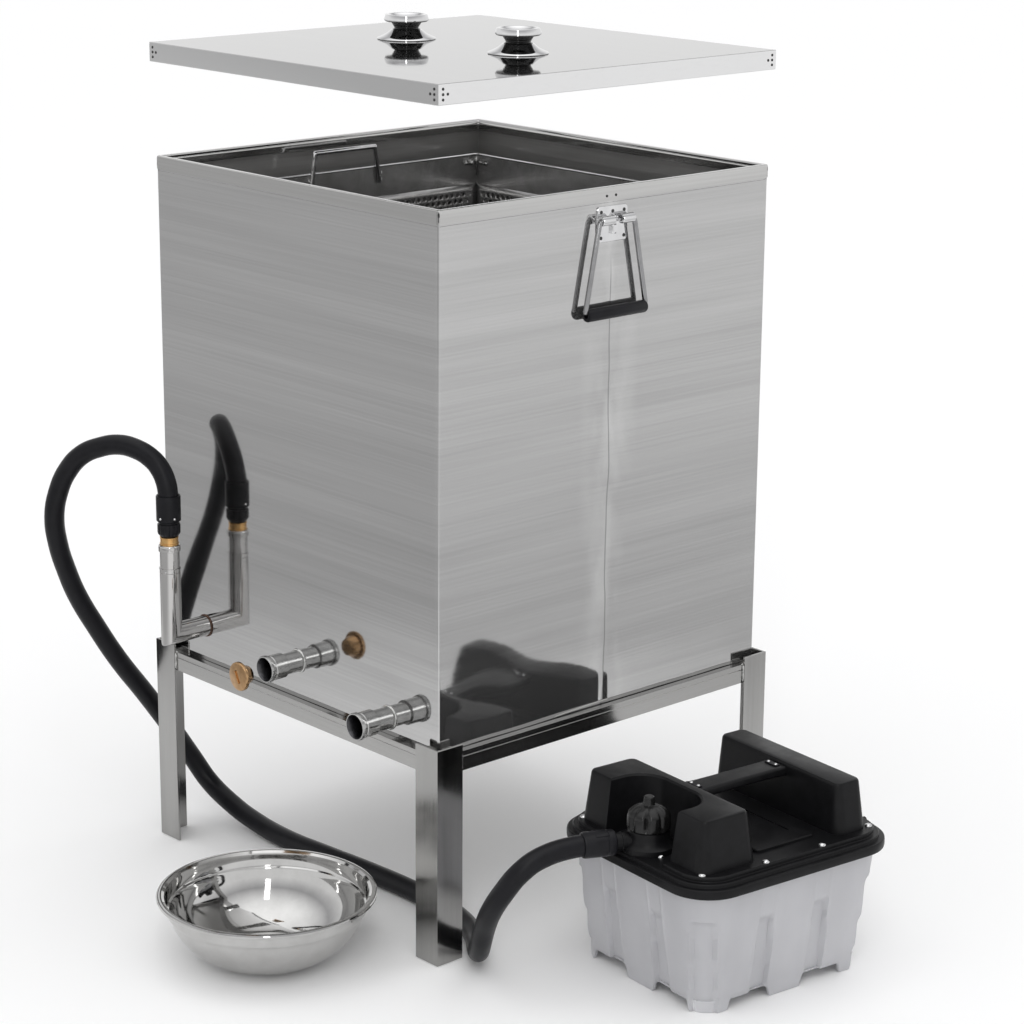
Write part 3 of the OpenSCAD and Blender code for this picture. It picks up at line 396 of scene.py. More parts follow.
def rounded(corners, radii, steps=7):
    """A path through corner points with a round bend at each inner one."""
    spots = [Vector(c) for c in corners]
    path = [spots[0]]
    for i, radius in enumerate(radii):
        here = spots[i + 1]
        back = (spots[i] - here).normalized()
        ahead = (spots[i + 2] - here).normalized()
        trim = radius / math.tan(back.angle(ahead) / 2.0)
        first, last = here + back * trim, here + ahead * trim
        middle = here + (back + ahead).normalized() * (radius / math.sin(back.angle(ahead) / 2.0))
        arm_a, arm_b = first - middle, last - middle
        for k in range(steps + 1):
            path.append(middle + arm_a.slerp(arm_b, k / steps))
    path.append(spots[-1])
    return path


def tube(path, radius, sides=20):
    """A solid round bar along a path, with a mitre at each corner and a softened edge at each end."""
    spots = [Vector(p) for p in path]
    runs = [(b - a).normalized() for a, b in zip(spots, spots[1:])]
    side = runs[0].orthogonal().normalized()
    other = runs[0].cross(side)
    turns = [2.0 * math.pi * k / sides for k in range(sides)]
    ring = [spots[0] + radius * (side * math.cos(t) + other * math.sin(t)) for t in turns]
    rings = [ring]
    for i, run in enumerate(runs):
        stop = spots[i + 1]
        plane = run if i + 1 == len(runs) else (run + runs[i + 1]).normalized()
        ring = [v + run * ((stop - v).dot(plane) / run.dot(plane)) for v in ring]
        rings.append(ring)
    edge = min(0.8, radius * 0.2)
    shrink = (radius - edge) / radius
    first = [spots[0] + (v - spots[0]) * shrink for v in rings[0]]
    last = [spots[-1] + (v - spots[-1]) * shrink for v in rings[-1]]
    rings[0] = [v + runs[0] * edge for v in rings[0]]
    rings[-1] = [v - runs[-1] * edge for v in rings[-1]]
    return skin("tube", [first] + rings + [last])


def round_ring(width, depth, radius, corner=8):
    """The points of a rectangle with round corners, anticlockwise."""
    ring = []
    for quarter, (sx, sy) in enumerate(((1, 1), (-1, 1), (-1, -1), (1, -1))):
        middle = (sx * (width / 2 - radius), sy * (depth / 2 - radius))
        for k in range(corner + 1):
            angle = math.radians(90.0 * quarter + 90.0 * k / corner)
            ring.append((middle[0] + radius * math.cos(angle), middle[1] + radius * math.sin(angle)))
    return ring


def loft(levels, corner=8):
    """A solid through rounded rectangles, each (width, depth, corner radius, height, x, y), foot first."""
    rings = []
    for level in levels:
        width, depth, radius, height = level[:4]
        shift = level[4:] if len(level) > 4 else (0.0, 0.0)
        ring = round_ring(width, depth, radius, corner)
        rings.append([(x + shift[0], y + shift[1], height) for x, y in ring])
    return skin("loft", rings)


def extruded(outline, length):
    """A profile in the XY plane drawn out along +Z."""
    count = len(outline)
    points = [(x, y, z) for z in (0.0, length) for x, y in outline]
    faces = [(k, (k + 1) % count, (k + 1) % count + count, k + count) for k in range(count)]
    faces += [tuple(range(count)), tuple(range(count, 2 * count))]
    return faces_of("extruded", points, faces)


def combined(name, base, parts):
    """A mesh with others added to it or cut from it: parts are pairs of an operation and a mesh."""
    scene = bpy.context.scene.collection.objects
    body = bpy.data.objects.new(name, base)
    scene.link(body)
    tools = []
    for operation, mesh in parts:
        tool = bpy.data.objects.new(name + "_tool", mesh)
        scene.link(tool)
        tools.append(tool)
        step = body.modifiers.new(name + "_step", "BOOLEAN")
        step.operation = operation
        step.solver = "EXACT"
        step.object = tool
    ready = body.evaluated_get(bpy.context.evaluated_depsgraph_get())
    mesh = bpy.data.meshes.new_from_object(ready)
    for made in [body] + tools:
        old = made.data
        bpy.data.objects.remove(made)
        bpy.data.meshes.remove(old)
    return mesh


def softened(made, width):
    """Rounds a piece's edges a little."""
    weld = made.modifiers.new("weld", "WELD")
    weld.merge_threshold = 0.00001
    edge = made.modifiers.new("edge", "BEVEL")
    edge.width = width * MM
    edge.segments = 2
    edge.limit_method = "ANGLE"
    edge.angle_limit = math.radians(35.0)
    edge.harden_normals = False


def flat_shaded(made):
    """Lets the large faces lead the shading, so that flat sheet stays flat beside its folds."""
    shade = made.modifiers.new("shade", "WEIGHTED_NORMAL")
    shade.weight = 100
    shade.keep_sharp = True


def weld_ring(radius, thick, seed, steps=64, sides=8):
    """An uneven bead of weld round +Z at height 0."""
    rings = []
    for k in range(steps):
        angle = 2.0 * math.pi * k / steps
        across, ahead = math.cos(angle), math.sin(angle)
        lump = thick * (1.0 + 0.35 * smooth_noise.noise(Vector((across * 5, ahead * 5, seed))))
        ring = []
        for j in range(sides):
            turn = 2.0 * math.pi * j / sides
            reach = radius + lump * math.cos(turn)
            ring.append((reach * across, reach * ahead, lump * math.sin(turn)))
        rings.append(ring)
    return skin("weld", rings, True)


def weld_seam(start, end, thick, seed, sides=8):
    """An uneven bead of weld along a line."""
    a, b = Vector(start), Vector(end)
    count = max(6, int((b - a).length / 2.0))
    run = (b - a).normalized()
    side = run.orthogonal().normalized()
    other = run.cross(side)
    turns = [2.0 * math.pi * j / sides for j in range(sides)]
    rings = []
    for i in range(count + 1):
        share = i / count
        lump = thick * (0.75 + 0.4 * smooth_noise.noise(Vector((share * count * 0.45, seed, 0.0))))
        lump *= min(1.0, 6.0 * min(share, 1.0 - share) + 0.25)
        rings.append([a.lerp(b, share) + lump * (side * math.cos(t) + other * math.sin(t)) for t in turns])
    return skin("seam", rings)


def out_of_front(x, z):
    """Turns +Z so that it points out of the front wall at a place."""
    return tank_frame() @ Matrix.Translation((x, -WALL_HALF, z)) @ Matrix.Rotation(math.pi / 2, 4, "X")


def node_axis(name):
    """The middle of a node's foot."""
    low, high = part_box(name)
    low, high = Vector(low), Vector(high)
    return Vector(((low.x + high.x) / 2, (low.y + high.y) / 2, low.z))


def upright_at(spot):
    """Puts a piece that is drawn upwards from the origin, in millimetres, at a shared point."""
    return Matrix.Translation(spot) @ Matrix.Scale(MM, 4)


# Sizes of the tank, in millimetres, as in the part's source

WALL_HALF = 272.0
WALL_T = 1.5
WALL_FOOT = 244.0
WALL_TOP = 915.5
RIM_FOOT = 900.0
PIPE_R = 13.45
INLET = (-190.0, 314.0)
WAX = (4.0, 315.0)
WATER = (180.0, 288.0)
RISER_Y = -326.0
RISER_TOP = 398.0
MOUTH = 53.0
SEAT_R = 15.1
LEG_HALF = 284.5
LEG_FLANGE = 40.0
ANGLE_T = 3.0
RAIL_LOW = 241.0
RAIL_FLANGE = 25.0
RAIL_T = 9.0
BAIL_X = 281.5
BAIL_Z = 878.5


# The tank wall: one folded sheet, a little wavy, with the pipes' holes


def sheet_wave(face, along, height):
    """How far the sheet stands in from its plane at a place of one wall."""
    edge = min(1.0, (WALL_HALF - abs(along)) / 60.0) * min(1.0, (WALL_TOP - height) / 70.0)
    slow = smooth_noise.noise(Vector((along / 170.0, height / 150.0, 3.7 * face)))
    low = max(0.0, 1.0 - (height - WALL_FOOT) / 240.0)
    quick = smooth_noise.noise(Vector((along / 95.0, height / 75.0, 9.1 + face)))
    dent = 0.35 * (slow + 0.6) + (1.7 if face == 1 else 0.3) * low * (quick + 0.6)
    if face == 1:
        crease = max(0.0, 1.0 - abs(along) / 9.0) * min(1.0, max(0.0, (850.0 - height) / 60.0))
        dent += 0.30 * crease
    if face == 0:
        near = min((Vector((along, height)) - Vector(hole)).length for hole in (INLET, WAX, WATER))
        edge *= min(1.0, max(0.0, (near - 20.0) / 40.0))
    under_rim = 1.3 if RIM_FOOT - 2.2 < height < RIM_FOOT - 0.1 else 0.0
    return -max(0.0, dent) * max(0.0, edge) - under_rim


def wall_spot(face, along, height):
    """A point of one wall's outer face: 0 front, 1 right, 2 back, 3 left."""
    reach = WALL_HALF + sheet_wave(face, along, height)
    spot = Vector((along, -reach, height))
    return Matrix.Rotation(face * math.pi / 2, 3, "Z") @ spot


def tank_wall():
    """The four walls with round folds at the corners and three holes in front."""
    fold = 2.5
    flat = WALL_HALF - fold
    columns, rows, bends = 40, 50, 4
    line = RIM_FOOT - 2.3
    heights = [WALL_FOOT + (line - WALL_FOOT) * j / rows for j in range(rows + 1)]
    heights += [line + 0.2, RIM_FOOT - 0.15, RIM_FOOT, RIM_FOOT + 8.0, WALL_TOP]
    runs = [-flat + 2.0 * flat * i / columns for i in range(columns + 1)]
    creased = sorted(set(runs + [-9.0, -5.0, -2.0, -0.7, 0.7, 2.0, 5.0, 9.0]))
    points, faces = [], []

    def grid(spots):
        base = len(points)
        points.extend(p for line in spots for p in line)
        width = len(spots[0])
        for i in range(len(spots) - 1):
            for j in range(width - 1):
                a = base + i * width + j
                faces.append((a, a + width, a + width + 1, a + 1))

    for face in (1, 2, 3):
        grid([[wall_spot(face, x, z) for z in heights] for x in (creased if face == 1 else runs)])
    for face in range(4):
        turn = Matrix.Rotation(face * math.pi / 2, 3, "Z")
        arc = []
        for k in range(bends + 1):
            angle = math.radians(-90.0 + 90.0 * k / bends)
            spot = (flat + fold * math.cos(angle), -flat + fold * math.sin(angle))
            arc.append([turn @ Vector((*spot, z)) for z in heights])
        arc[0] = [wall_spot(face, flat, z) for z in heights]
        arc[-1] = [wall_spot((face + 1) % 4, -flat, z) for z in heights]
        grid(arc)
    holes = [Vector(hole) for hole in (INLET, WAX, WATER)]
    hole_r, hole_steps = PIPE_R + 0.05, 40

    def clear(spot, more):
        return all((spot - hole).length > hole_r + more for hole in holes)

    spots = [Vector((x, z)) for x in runs for z in heights if clear(Vector((x, z)), 4.0)]
    rings = []
    for hole in holes:
        first = len(spots)
        rings += [(first + k, first + (k + 1) % hole_steps) for k in range(hole_steps)]
        for reach in (hole_r, hole_r + 1.5):
            for k in range(hole_steps):
                angle = 2.0 * math.pi * k / hole_steps
                spots.append(hole + reach * Vector((math.cos(angle), math.sin(angle))))
    flat_spots, _, flat_faces, *_ = delaunay_2d_cdt(spots, rings, [], 0, 0.001)
    base = len(points)
    points.extend(wall_spot(0, p.x, p.y) for p in flat_spots)
    for face in flat_faces:
        middle = sum((flat_spots[i] for i in face), Vector((0.0, 0.0))) / len(face)
        if clear(middle, -0.3):
            faces.append(tuple(base + i for i in face))
    mesh = placed(faces_of("tank_wall", points, faces), tank_frame())
    made = piece("tank_wall", mesh, WALL_STEEL, "tank", ("tank_shell", "tank_front"), 40.0)
    made.data.materials.append(INNER_STEEL)
    thick = made.modifiers.new("sheet", "SOLIDIFY")
    thick.thickness = WALL_T * MM
    thick.offset = -1.0
    thick.material_offset = 1
    flat_shaded(made)


def ring_band(name, profile, corner=5):
    """A closed band round a square; its section's points are a half width, a height and a corner radius."""
    rings = []
    for half, z, radius in profile:
        rings.append([(x, y, z) for x, y in round_ring(2.0 * half, 2.0 * half, radius, corner)])
    return skin(name, rings, True)


def rim_hem():
    """The hem round the rim: outer band, top, a roll turned in and the lip under it."""
    out, turned = 4.0, 1.6
    mesh = ring_band("rim_hem", [
        (272.9, 900.0, out), (272.9, 915.5, out), (272.5, 916.5, out), (271.6, 916.9, out),
        (267.8, 916.9, turned), (265.4, 916.4, turned), (263.6, 915.1, turned), (262.7, 913.2, turned),
        (262.5, 911.0, turned), (262.5, 903.0, turned), (264.0, 903.0, turned), (264.0, 911.0, turned),
        (265.0, 913.8, turned), (267.8, 915.4, turned), (271.4, 915.4, out), (272.05, 914.7, out),
        (272.05, 900.0, out),
    ])
    made = piece("rim_hem", placed(mesh, tank_frame()), RIM_STEEL, "tank", ("rim_band",), 40.0)
    flat_shaded(made)


def rim_marks():
    """Two rivet heads on the rim over each side handle and a fold mark at each corner."""
    heads = []
    for side in (1, -1):
        for y in (-9.0, 6.0):
            spot = Matrix.Translation((side * 273.0, y, 906.0)) @ Matrix.Rotation(side * math.pi / 2, 4, "Y")
            heads.append(placed(lathe([(0, 0), (1.7, 0), (1.5, 0.5), (0.9, 0.9), (0, 1.0)], 16), spot))
    made = placed(joined("rim_rivets", heads), tank_frame())
    # The rivet heads are painted near-black as shade.
    piece("rim_rivets", made, DOT_PAINTED_SHADE, "tank")
    seams = []
    corner, lip = 271.0, 264.5
    for k, (sx, sy) in enumerate(((-1, -1), (1, -1), (1, 1), (-1, 1))):
        spot = (sx * corner, sy * corner)
        seams.append(weld_seam((*spot, RIM_FOOT - 0.5), (*spot, 915.6), 1.7, 40.0 + k))
        seams.append(weld_seam((*spot, 916.5), (sx * lip, sy * lip, 916.3), 0.6, 50.0 + k))
    made = placed(joined("rim_corners", seams), tank_frame())
    # The corner fold seams are painted near-black as shade.
    piece("rim_corners", made, DOT_PAINTED_SHADE, "tank")


# The stand


def rails():
    """Four rails with a fine rolled line along their faces, behind the legs' flanges."""
    face = LEG_HALF - ANGLE_T - 0.05
    half = face - RAIL_FLANGE - 0.05
    outline = [
        (-face, RAIL_LOW), (-face + RAIL_FLANGE, RAIL_LOW), (-face + RAIL_FLANGE, RAIL_LOW + ANGLE_T),
        (-face + RAIL_T, RAIL_LOW + ANGLE_T), (-face + RAIL_T, RAIL_LOW + RAIL_FLANGE),
        (-face, RAIL_LOW + RAIL_FLANGE), (-face, RAIL_LOW + 18.2), (-face + 0.25, RAIL_LOW + 18.0),
        (-face + 0.25, RAIL_LOW + 17.7), (-face, RAIL_LOW + 17.5),
    ]
    along = Matrix(((0, 0, 1, -half), (1, 0, 0, 0), (0, 1, 0, 0), (0, 0, 0, 1)))
    for turn, name in enumerate(("rail_front", "rail_right", "rail_back", "rail_left")):
        mesh = placed(extruded(outline, 2.0 * half), along)
        mesh = placed(mesh, tank_frame() @ Matrix.Rotation(turn * math.pi / 2, 4, "Z"))
        made = piece(name + "_bar", mesh, RAIL_STEEL, "tank", (name,))
        softened(made, 0.5)


def stand_welds():
    """Welds between each leg's flanges and the rails behind them."""
    seams = []
    inner = LEG_HALF - LEG_FLANGE
    face = LEG_HALF - ANGLE_T
    seed = 0
    for turn in range(4):
        spin = Matrix.Rotation(turn * math.pi / 2, 4, "Z")
        for side in (-1, 1):
            seed += 1
            foot = (side * inner, -face - 0.6, RAIL_LOW + 1.5)
            head = (side * inner, -face - 0.6, RAIL_LOW + RAIL_FLANGE - 1.0)
            seams.append(placed(weld_seam(foot, head, 2.2, seed * 1.7), spin))
            across = (side * (inner + 14.0), -face + 0.6, RAIL_LOW + RAIL_FLANGE)
            near = (side * (inner - 3.0), -face + 0.6, RAIL_LOW + RAIL_FLANGE)
            seams.append(placed(weld_seam(near, across, 1.6, seed * 2.3), spin))
    made = placed(joined("stand_welds", seams), tank_frame())
    piece("stand_welds", made, WELD_STEEL, "tank")


# Steam inlet and outlets


def steam_inlet():
    """The mitred elbow with its burnt weld, the socket, the brass adapter, the nut and the collar."""
    corner = (INLET[0], RISER_Y, INLET[1])
    start = (INLET[0], -WALL_HALF + WALL_T + 6.0, INLET[1])
    top = (INLET[0], RISER_Y, RISER_TOP)
    elbow = placed(tube([start, corner, top], PIPE_R, 40), tank_frame())
    piece("inlet_elbow", elbow, PIPE_STEEL, "tank", ("steam_elbow",))
    bead = placed(weld_ring(PIPE_R + 0.5, 1.0, 4.0), out_of_front(*INLET) @ Matrix.Translation((0, 0, 0.6)))
    piece("inlet_weld", bead, BURNT_STEEL, "tank")
    riser = tank_frame() @ Matrix.Translation((INLET[0], RISER_Y, 0.0))
    socket = hollow([
        (12.2, 398.05), (13.45, 398.05), (13.45, 402.2), (14.0, 402.5), (14.0, 403.6), (12.8, 404.0),
        (12.8, 425.5), (14.35, 426.2), (14.35, 431.8), (13.9, 433.2), (13.0, 434.0), (12.05, 433.6),
        (12.05, 420.0),
    ])
    piece("inlet_socket", placed(socket, riser), PIPE_STEEL, "tank", ("riser_socket",))
    brass = lathe([
        (0, 429.0), (11.95, 429.0), (11.95, 434.6), (12.3, 435.0), (12.3, 436.6), (11.6, 437.0),
        (11.6, 442.8), (12.0, 443.2), (12.0, 444.6), (11.4, 445.0), (0, 445.0),
    ])
    piece("inlet_adapter", placed(brass, riser), BRASS, "tank", ("brass_adapter",))
    nut = lathe([
        (0, 445.05), (10.8, 445.05), (14.0, 449.0, 1), (14.7, 450.5, 1), (14.7, 461.0, 1), (14.2, 461.9, 1),
        (12.5, 462.1), (12.5, 465.0), (0, 465.0),
    ], 96, 12, 0.7)
    piece("hose_nut_ribbed", placed(nut, riser), RUBBER, "tank", ("hose_nut",))
    collar = hollow([
        (12.6, 465.05), (14.2, 465.05), (15.6, 466.3), (15.75, 467.5), (15.75, 497.6), (15.2, 499.0),
        (13.6, 499.0), (13.05, 497.8), (13.05, 470.0),
    ])
    piece("hose_collar_riser", placed(collar, riser), RUBBER, "tank", ("hose_collar_tank",))
    dots = []
    for angle in (-78.0, -6.0):
        spot = Matrix.Rotation(math.radians(angle), 4, "Z") @ Matrix.Translation((15.6, 0.0, 470.5))
        head = lathe([(0, 0), (1.7, 0), (1.3, 0.7), (0.6, 1.0), (0, 1.05)], 16)
        dots.append(placed(head, spot @ Matrix.Rotation(math.pi / 2, 4, "Y")))
    for angle in (-60.0, -24.0):
        spot = Matrix.Rotation(math.radians(angle), 4, "Z") @ Matrix.Translation((13.3, 0.0, 400.0))
        head = lathe([(0, 0), (1.3, 0), (1.0, 0.6), (0, 0.9)], 14)
        dots.append(placed(head, spot @ Matrix.Rotation(math.pi / 2, 4, "Y")))
    piece("inlet_studs", placed(joined("inlet_studs", dots), riser), CHROME, "tank")


def paint_bore_shade(made, frame_of_pipe, reach):
    """Paints shade into the bore of a pipe with a dull, dark material: the faces that look at the pipe's
    axis.
    """
    made.data.materials.append(THROAT_PAINTED_SHADE)
    back = frame_of_pipe.inverted()
    for face in made.data.polygons:
        spot = back @ face.center
        turned_in = (back.to_3x3() @ face.normal).xy.dot(spot.xy) < 0.0
        if turned_in and spot.xy.length < reach:
            face.material_index = 1


def outlet(name, place, node):
    """A stepped outlet: weld, neck, socket, mouth ring and tapered seat."""
    at = out_of_front(*place)
    body = hollow([
        (10.8, -7.5), (13.4, -7.5), (13.4, 24.4), (14.2, 25.2), (15.2, 25.6), (15.8, 26.4), (15.8, 43.4),
        (15.0, 44.4), (15.0, 45.8), (16.6, 46.6), (17.0, 47.2), (17.0, 51.6), (16.4, 53.0), (15.2, 53.0),
        (14.9, 52.6), (10.9, 40.4),
    ], 64)
    made = piece(name, placed(body, at), OUTLET_STEEL, "tank", (node,))
    paint_bore_shade(made, at, SEAT_R)
    lip = hollow([
        (15.25, 53.02), (16.3, 53.05), (17.1, 51.4), (17.1, 48.4), (16.7, 47.8), (16.0, 52.0),
    ], 64)
    piece(name + "_lip", placed(lip, at), OUTLET_STEEL, "tank")
    bead = placed(weld_ring(PIPE_R + 0.7, 1.4, place[0]), at @ Matrix.Translation((0, 0, 0.5)))
    piece(name + "_weld", bead, WELD_STEEL, "tank")


def plug():
    """The turned plug with a cone behind its face and a slot across it."""
    face, stem = 5.0, 12.0
    cone = 0.33
    top = 14.6
    body = lathe([
        (0, -stem), (top - cone * stem - 0.6, -stem), (top - cone * stem, -stem + 0.6), (top, -0.2),
        (top, 0.0), (17.6, 0.0), (18.25, 0.7), (18.25, 3.4), (17.6, 4.6), (16.8, face), (0, face),
    ], 72)
    slot = loft([(6.5, 17.0, 0.8, face - 1.5), (6.7, 17.2, 0.8, face + 2.0)], 3)
    slot = placed(slot, Matrix.Rotation(math.radians(28.0), 4, "Z"))
    body = combined("plug", body, [("DIFFERENCE", slot)])
    place = out_of_front(*WAX) @ Matrix.Translation((0.0, 0.0, MOUTH + 36.0))
    piece("plug", placed(body, place), BRONZE, "plug", ("drain_plug",))


# Side handles


def side_handle(side, name):
    """A riveted plate with two rolled knuckles and a stop, the bail and its grip."""
    mirror = tank_frame() @ Matrix.Diagonal((side, 1.0, 1.0, 1.0))
    wall = Matrix(((0, 0, 1, WALL_HALF), (1, 0, 0, 0), (0, 1, 0, BAIL_Z - 6.0), (0, 0, 0, 1)))
    parts = [placed(loft([(50, 43, 4.5, 0.0), (50, 43, 4.5, 1.3), (48.8, 41.8, 4.0, 2.0)], 5), wall)]
    rivets = []
    for y, z in ((-19, 15), (0, 15), (19, 15), (-19, -16), (19, -16)):
        rivet = lathe([(0, 1.5), (2.3, 1.5), (2.1, 2.5), (1.2, 3.1), (0, 3.3)], 20)
        rivets.append(placed(rivet, wall @ Matrix.Translation((y, z, 0.0))))
    # The rivet heads are painted near-black as shade.
    piece(
        "handle_rivets_" + name, placed(joined("rivets", rivets), mirror), DOT_PAINTED_SHADE, "tank",
    )
    parts.append(placed(loft([(7, 12, 1.0, 1.5), (7, 12, 1.0, 5.0), (5.5, 9, 0.8, 6.0)], 3),
                        wall @ Matrix.Translation((0.0, -6.0, 0.0))))
    for y in (-26.5, 6.5):
        axis = Matrix.Translation((BAIL_X, y, BAIL_Z)) @ Matrix.Rotation(-math.pi / 2, 4, "X")
        parts.append(placed(hollow([
            (3.05, 0.0), (5.4, 0.0), (6.0, 0.6), (6.0, 19.4), (5.4, 20.0), (3.05, 20.0),
        ], 40), axis))
        web = placed(loft([(18.5, 5.2, 1.0, 0.0), (18.5, 4.6, 1.0, 4.6)], 3), wall)
        parts.append(placed(web, Matrix.Translation((1.4, y + 10.0, 6.0))))
    plate = placed(joined("handle_plate", parts), mirror)
    piece("handle_plate_riveted_" + name, plate, CHROME, "tank", ("handle_plate_" + name,))
    arm, top, low, drop = 26.8, 32.0, 55.0, 111.0
    corners = [(arm, 0), (top, 0), (low, -drop), (-low, -drop), (-top, 0), (-arm, 0)]
    path = rounded([(0.0, y, z) for y, z in corners], [4.5, 5.0, 5.0, 4.5])
    hinge = mirror @ Matrix.Translation((BAIL_X, 0.0, BAIL_Z))
    rods = [tube(path, 3.2, 20)]
    for s in (-1, 1):
        rods.append(tube([(0.0, s * 7.5, 0.0), (0.0, s * 27.6, 0.0)], 3.0, 20))
    bail = placed(joined("bail", rods), hinge)
    body = "handle_" + name
    piece("bail_rod_" + name, bail, DARK_CHROME, body, ("bail_" + name,))
    half = 49.0
    across = Matrix.Translation((0.0, -half, -drop)) @ Matrix.Rotation(-math.pi / 2, 4, "X")
    grip = hollow([
        (3.25, 0.0), (5.6, 0.0), (7.1, 0.7), (7.75, 2.4), (7.75, 2 * half - 2.4), (7.1, 2 * half - 0.7),
        (5.6, 2 * half), (3.25, 2 * half),
    ], 40)
    piece(
        "grip_sleeve_" + name, placed(grip, hinge @ across), RUBBER, body, ("grip_" + name,),
    )


# The lid and its knobs


def lid_knob(name):
    """A turned knob: conical base, black waist and dished cap."""
    foot = upright_at(node_axis("knob_base_" + name))
    base = lathe([
        (0, 0), (36.6, 0), (37.4, 0.5), (37.5, 1.2), (36.8, 1.9), (31.5, 4.0), (26.0, 6.8), (21.8, 10.0),
        (19.6, 12.0), (0, 12.0),
    ], 72)
    piece("knob_foot_" + name, placed(base, foot), CHROME, "lid", ("knob_base_" + name,))
    waist = lathe([
        (0, 12.02), (18.0, 12.02), (17.4, 12.5), (15.8, 13.4), (15.4, 14.4), (15.9, 15.6), (16.5, 15.8),
        (16.4, 16.4), (17.3, 18.0), (17.9, 18.2), (17.9, 18.8), (19.2, 20.6), (20.0, 21.6), (26.4, 22.2),
        (27.2, 22.7), (27.2, 22.98), (0, 22.98),
    ], 72)
    piece(
        "knob_waist_" + name, placed(waist, foot), KNOB_BLACK, "lid", ("knob_body_" + name,),
    )
    cap = lathe([
        (0, 23.0), (27.0, 23.0), (28.3, 23.4), (28.5, 24.2), (28.3, 25.6), (27.4, 28.6), (26.6, 30.4),
        (25.4, 31.0), (22.8, 31.0), (21.4, 30.2), (20.0, 27.8), (16.0, 26.5), (0, 26.1),
    ], 72)
    piece("knob_dish_" + name, placed(cap, foot), CHROME, "lid", ("knob_cap_" + name,))


def lid_rivets():
    """Spot-weld heads on both faces of each corner of the skirt."""
    low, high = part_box("lid_pan")
    half = (high[0] - low[0]) / 2 / MM
    top = high[2] / MM
    heads = []
    for turn in range(4):
        spin = Matrix.Rotation(turn * math.pi / 2, 4, "Z")
        for side in (-1, 1):
            for along, drop in ((7.0, 6.0), (7.0, 12.0), (7.0, 18.0), (14.0, 12.0)):
                head = lathe([(0, -0.4), (1.9, -0.4), (1.7, 0.35), (0.9, 0.7), (0, 0.8)], 14)
                spot = Matrix.Translation((side * (half - along), -half, top - drop))
                heads.append(placed(head, spin @ spot @ Matrix.Rotation(math.pi / 2, 4, "X")))
    # The spot-weld heads are painted near-black as shade.
    piece("lid_rivets", placed(joined("lid_rivets", heads), tank_frame()), DOT_PAINTED_SHADE, "lid")


# The basket


def perforated(width, height, pitch, radius, margin):
    """A flat sheet in the XY plane, centred, with staggered holes inside a plain margin."""
    columns = int((width - 2 * margin) / pitch)
    step = pitch * 0.866
    rows = int((height - 2 * margin) / step)
    left, foot = -columns * pitch / 2, -rows * step / 2
    points, faces = [], []

    def quad(*corners):
        first = len(points)
        points.extend((x, y, 0.0) for x, y in corners)
        faces.append(tuple(range(first, first + len(corners))))

    def cell(x, y):
        ring = [(-0.5, -0.5), (0.0, -0.5), (0.5, -0.5), (0.5, 0.5), (0.0, 0.5), (-0.5, 0.5)]
        outer = [(x + u * pitch, y + v * step) for u, v in ring]
        turns = [math.radians(a) for a in (210, 270, 330, 30, 90, 150)]
        inner = [(x + radius * math.cos(t), y + radius * math.sin(t)) for t in turns]
        for k in range(6):
            nxt = (k + 1) % 6
            quad(outer[k], outer[nxt], inner[nxt], inner[k])

    for j in range(rows):
        y = foot + (j + 0.5) * step
        low, high = y - step / 2, y + step / 2
        odd = j % 2
        for i in range(columns - odd):
            cell(left + (i + 0.5 + 0.5 * odd) * pitch, y)
        if odd:
            for x in (left, -left - pitch / 2):
                quad((x, low), (x + pitch / 2, low), (x + pitch / 2, high), (x, high))
        for x, edge in ((left, -width / 2), (-left, width / 2)):
            quad((x, low), (x, high), (edge, high), (edge, low))
    for y, edge in ((foot, -height / 2), (-foot, height / 2)):
        for i in range(2 * columns):
            x = left + i * pitch / 2
            quad((x, y), (x + pitch / 2, y), (x + pitch / 2, edge), (x, edge))
        for x, side in ((left, -width / 2), (-left, width / 2)):
            quad((x, y), (side, y), (side, edge), (x, edge))
    return faces_of("perforated", points, faces)


def basket_sheets():
    """The basket's four walls and floor as fine perforated sheet."""
    pitch, hole, margin, thick = 10.0, 3.1, 5.0, 1.5
    for name in ("front", "back", "left", "right", "floor"):
        node = "basket_floor" if name == "floor" else "basket_panel_" + name
        low, high = (Vector(v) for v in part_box(node))
        size, middle = (high - low) / MM, (high + low) / 2
        if name == "floor":
            sheet, turn = (size.x, size.y), Matrix.Identity(4)
        elif name in ("front", "back"):
            sheet, turn = (size.x, size.z), Matrix.Rotation(math.pi / 2, 4, "X")
        else:
            sheet = (size.y, size.z)
            turn = Matrix.Rotation(math.pi / 2, 4, "Z") @ Matrix.Rotation(math.pi / 2, 4, "X")
        mesh = perforated(*sheet, pitch, hole, margin)
        mesh = placed(mesh, Matrix.Translation(middle) @ Matrix.Scale(MM, 4) @ turn)
        made = piece("basket_sheet_" + name, mesh, BASKET_STEEL, "basket", (node,))
        solid = made.modifiers.new("sheet", "SOLIDIFY")
        solid.thickness = thick * MM
        solid.offset = 0.0


GRIP_MORE = 8.5


def basket_grips():
    """The two bent rods that lift the basket."""
    radius, bend = 3.25, 9.0
    for name in ("left", "right"):
        low, high = (Vector(v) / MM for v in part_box("basket_handle_" + name))
        x = (low.x + high.x) / 2
        near, far, top = low.y + radius, high.y - radius, high.z - radius + GRIP_MORE
        corners = [(x, near, low.z), (x, near, top), (x, far, top), (x, far, low.z)]
        mesh = placed(tube(rounded(corners, [bend, bend]), radius, 20), Matrix.Scale(MM, 4))
        piece("basket_grip_" + name, mesh, CHROME, "basket", ("basket_handle_" + name,))


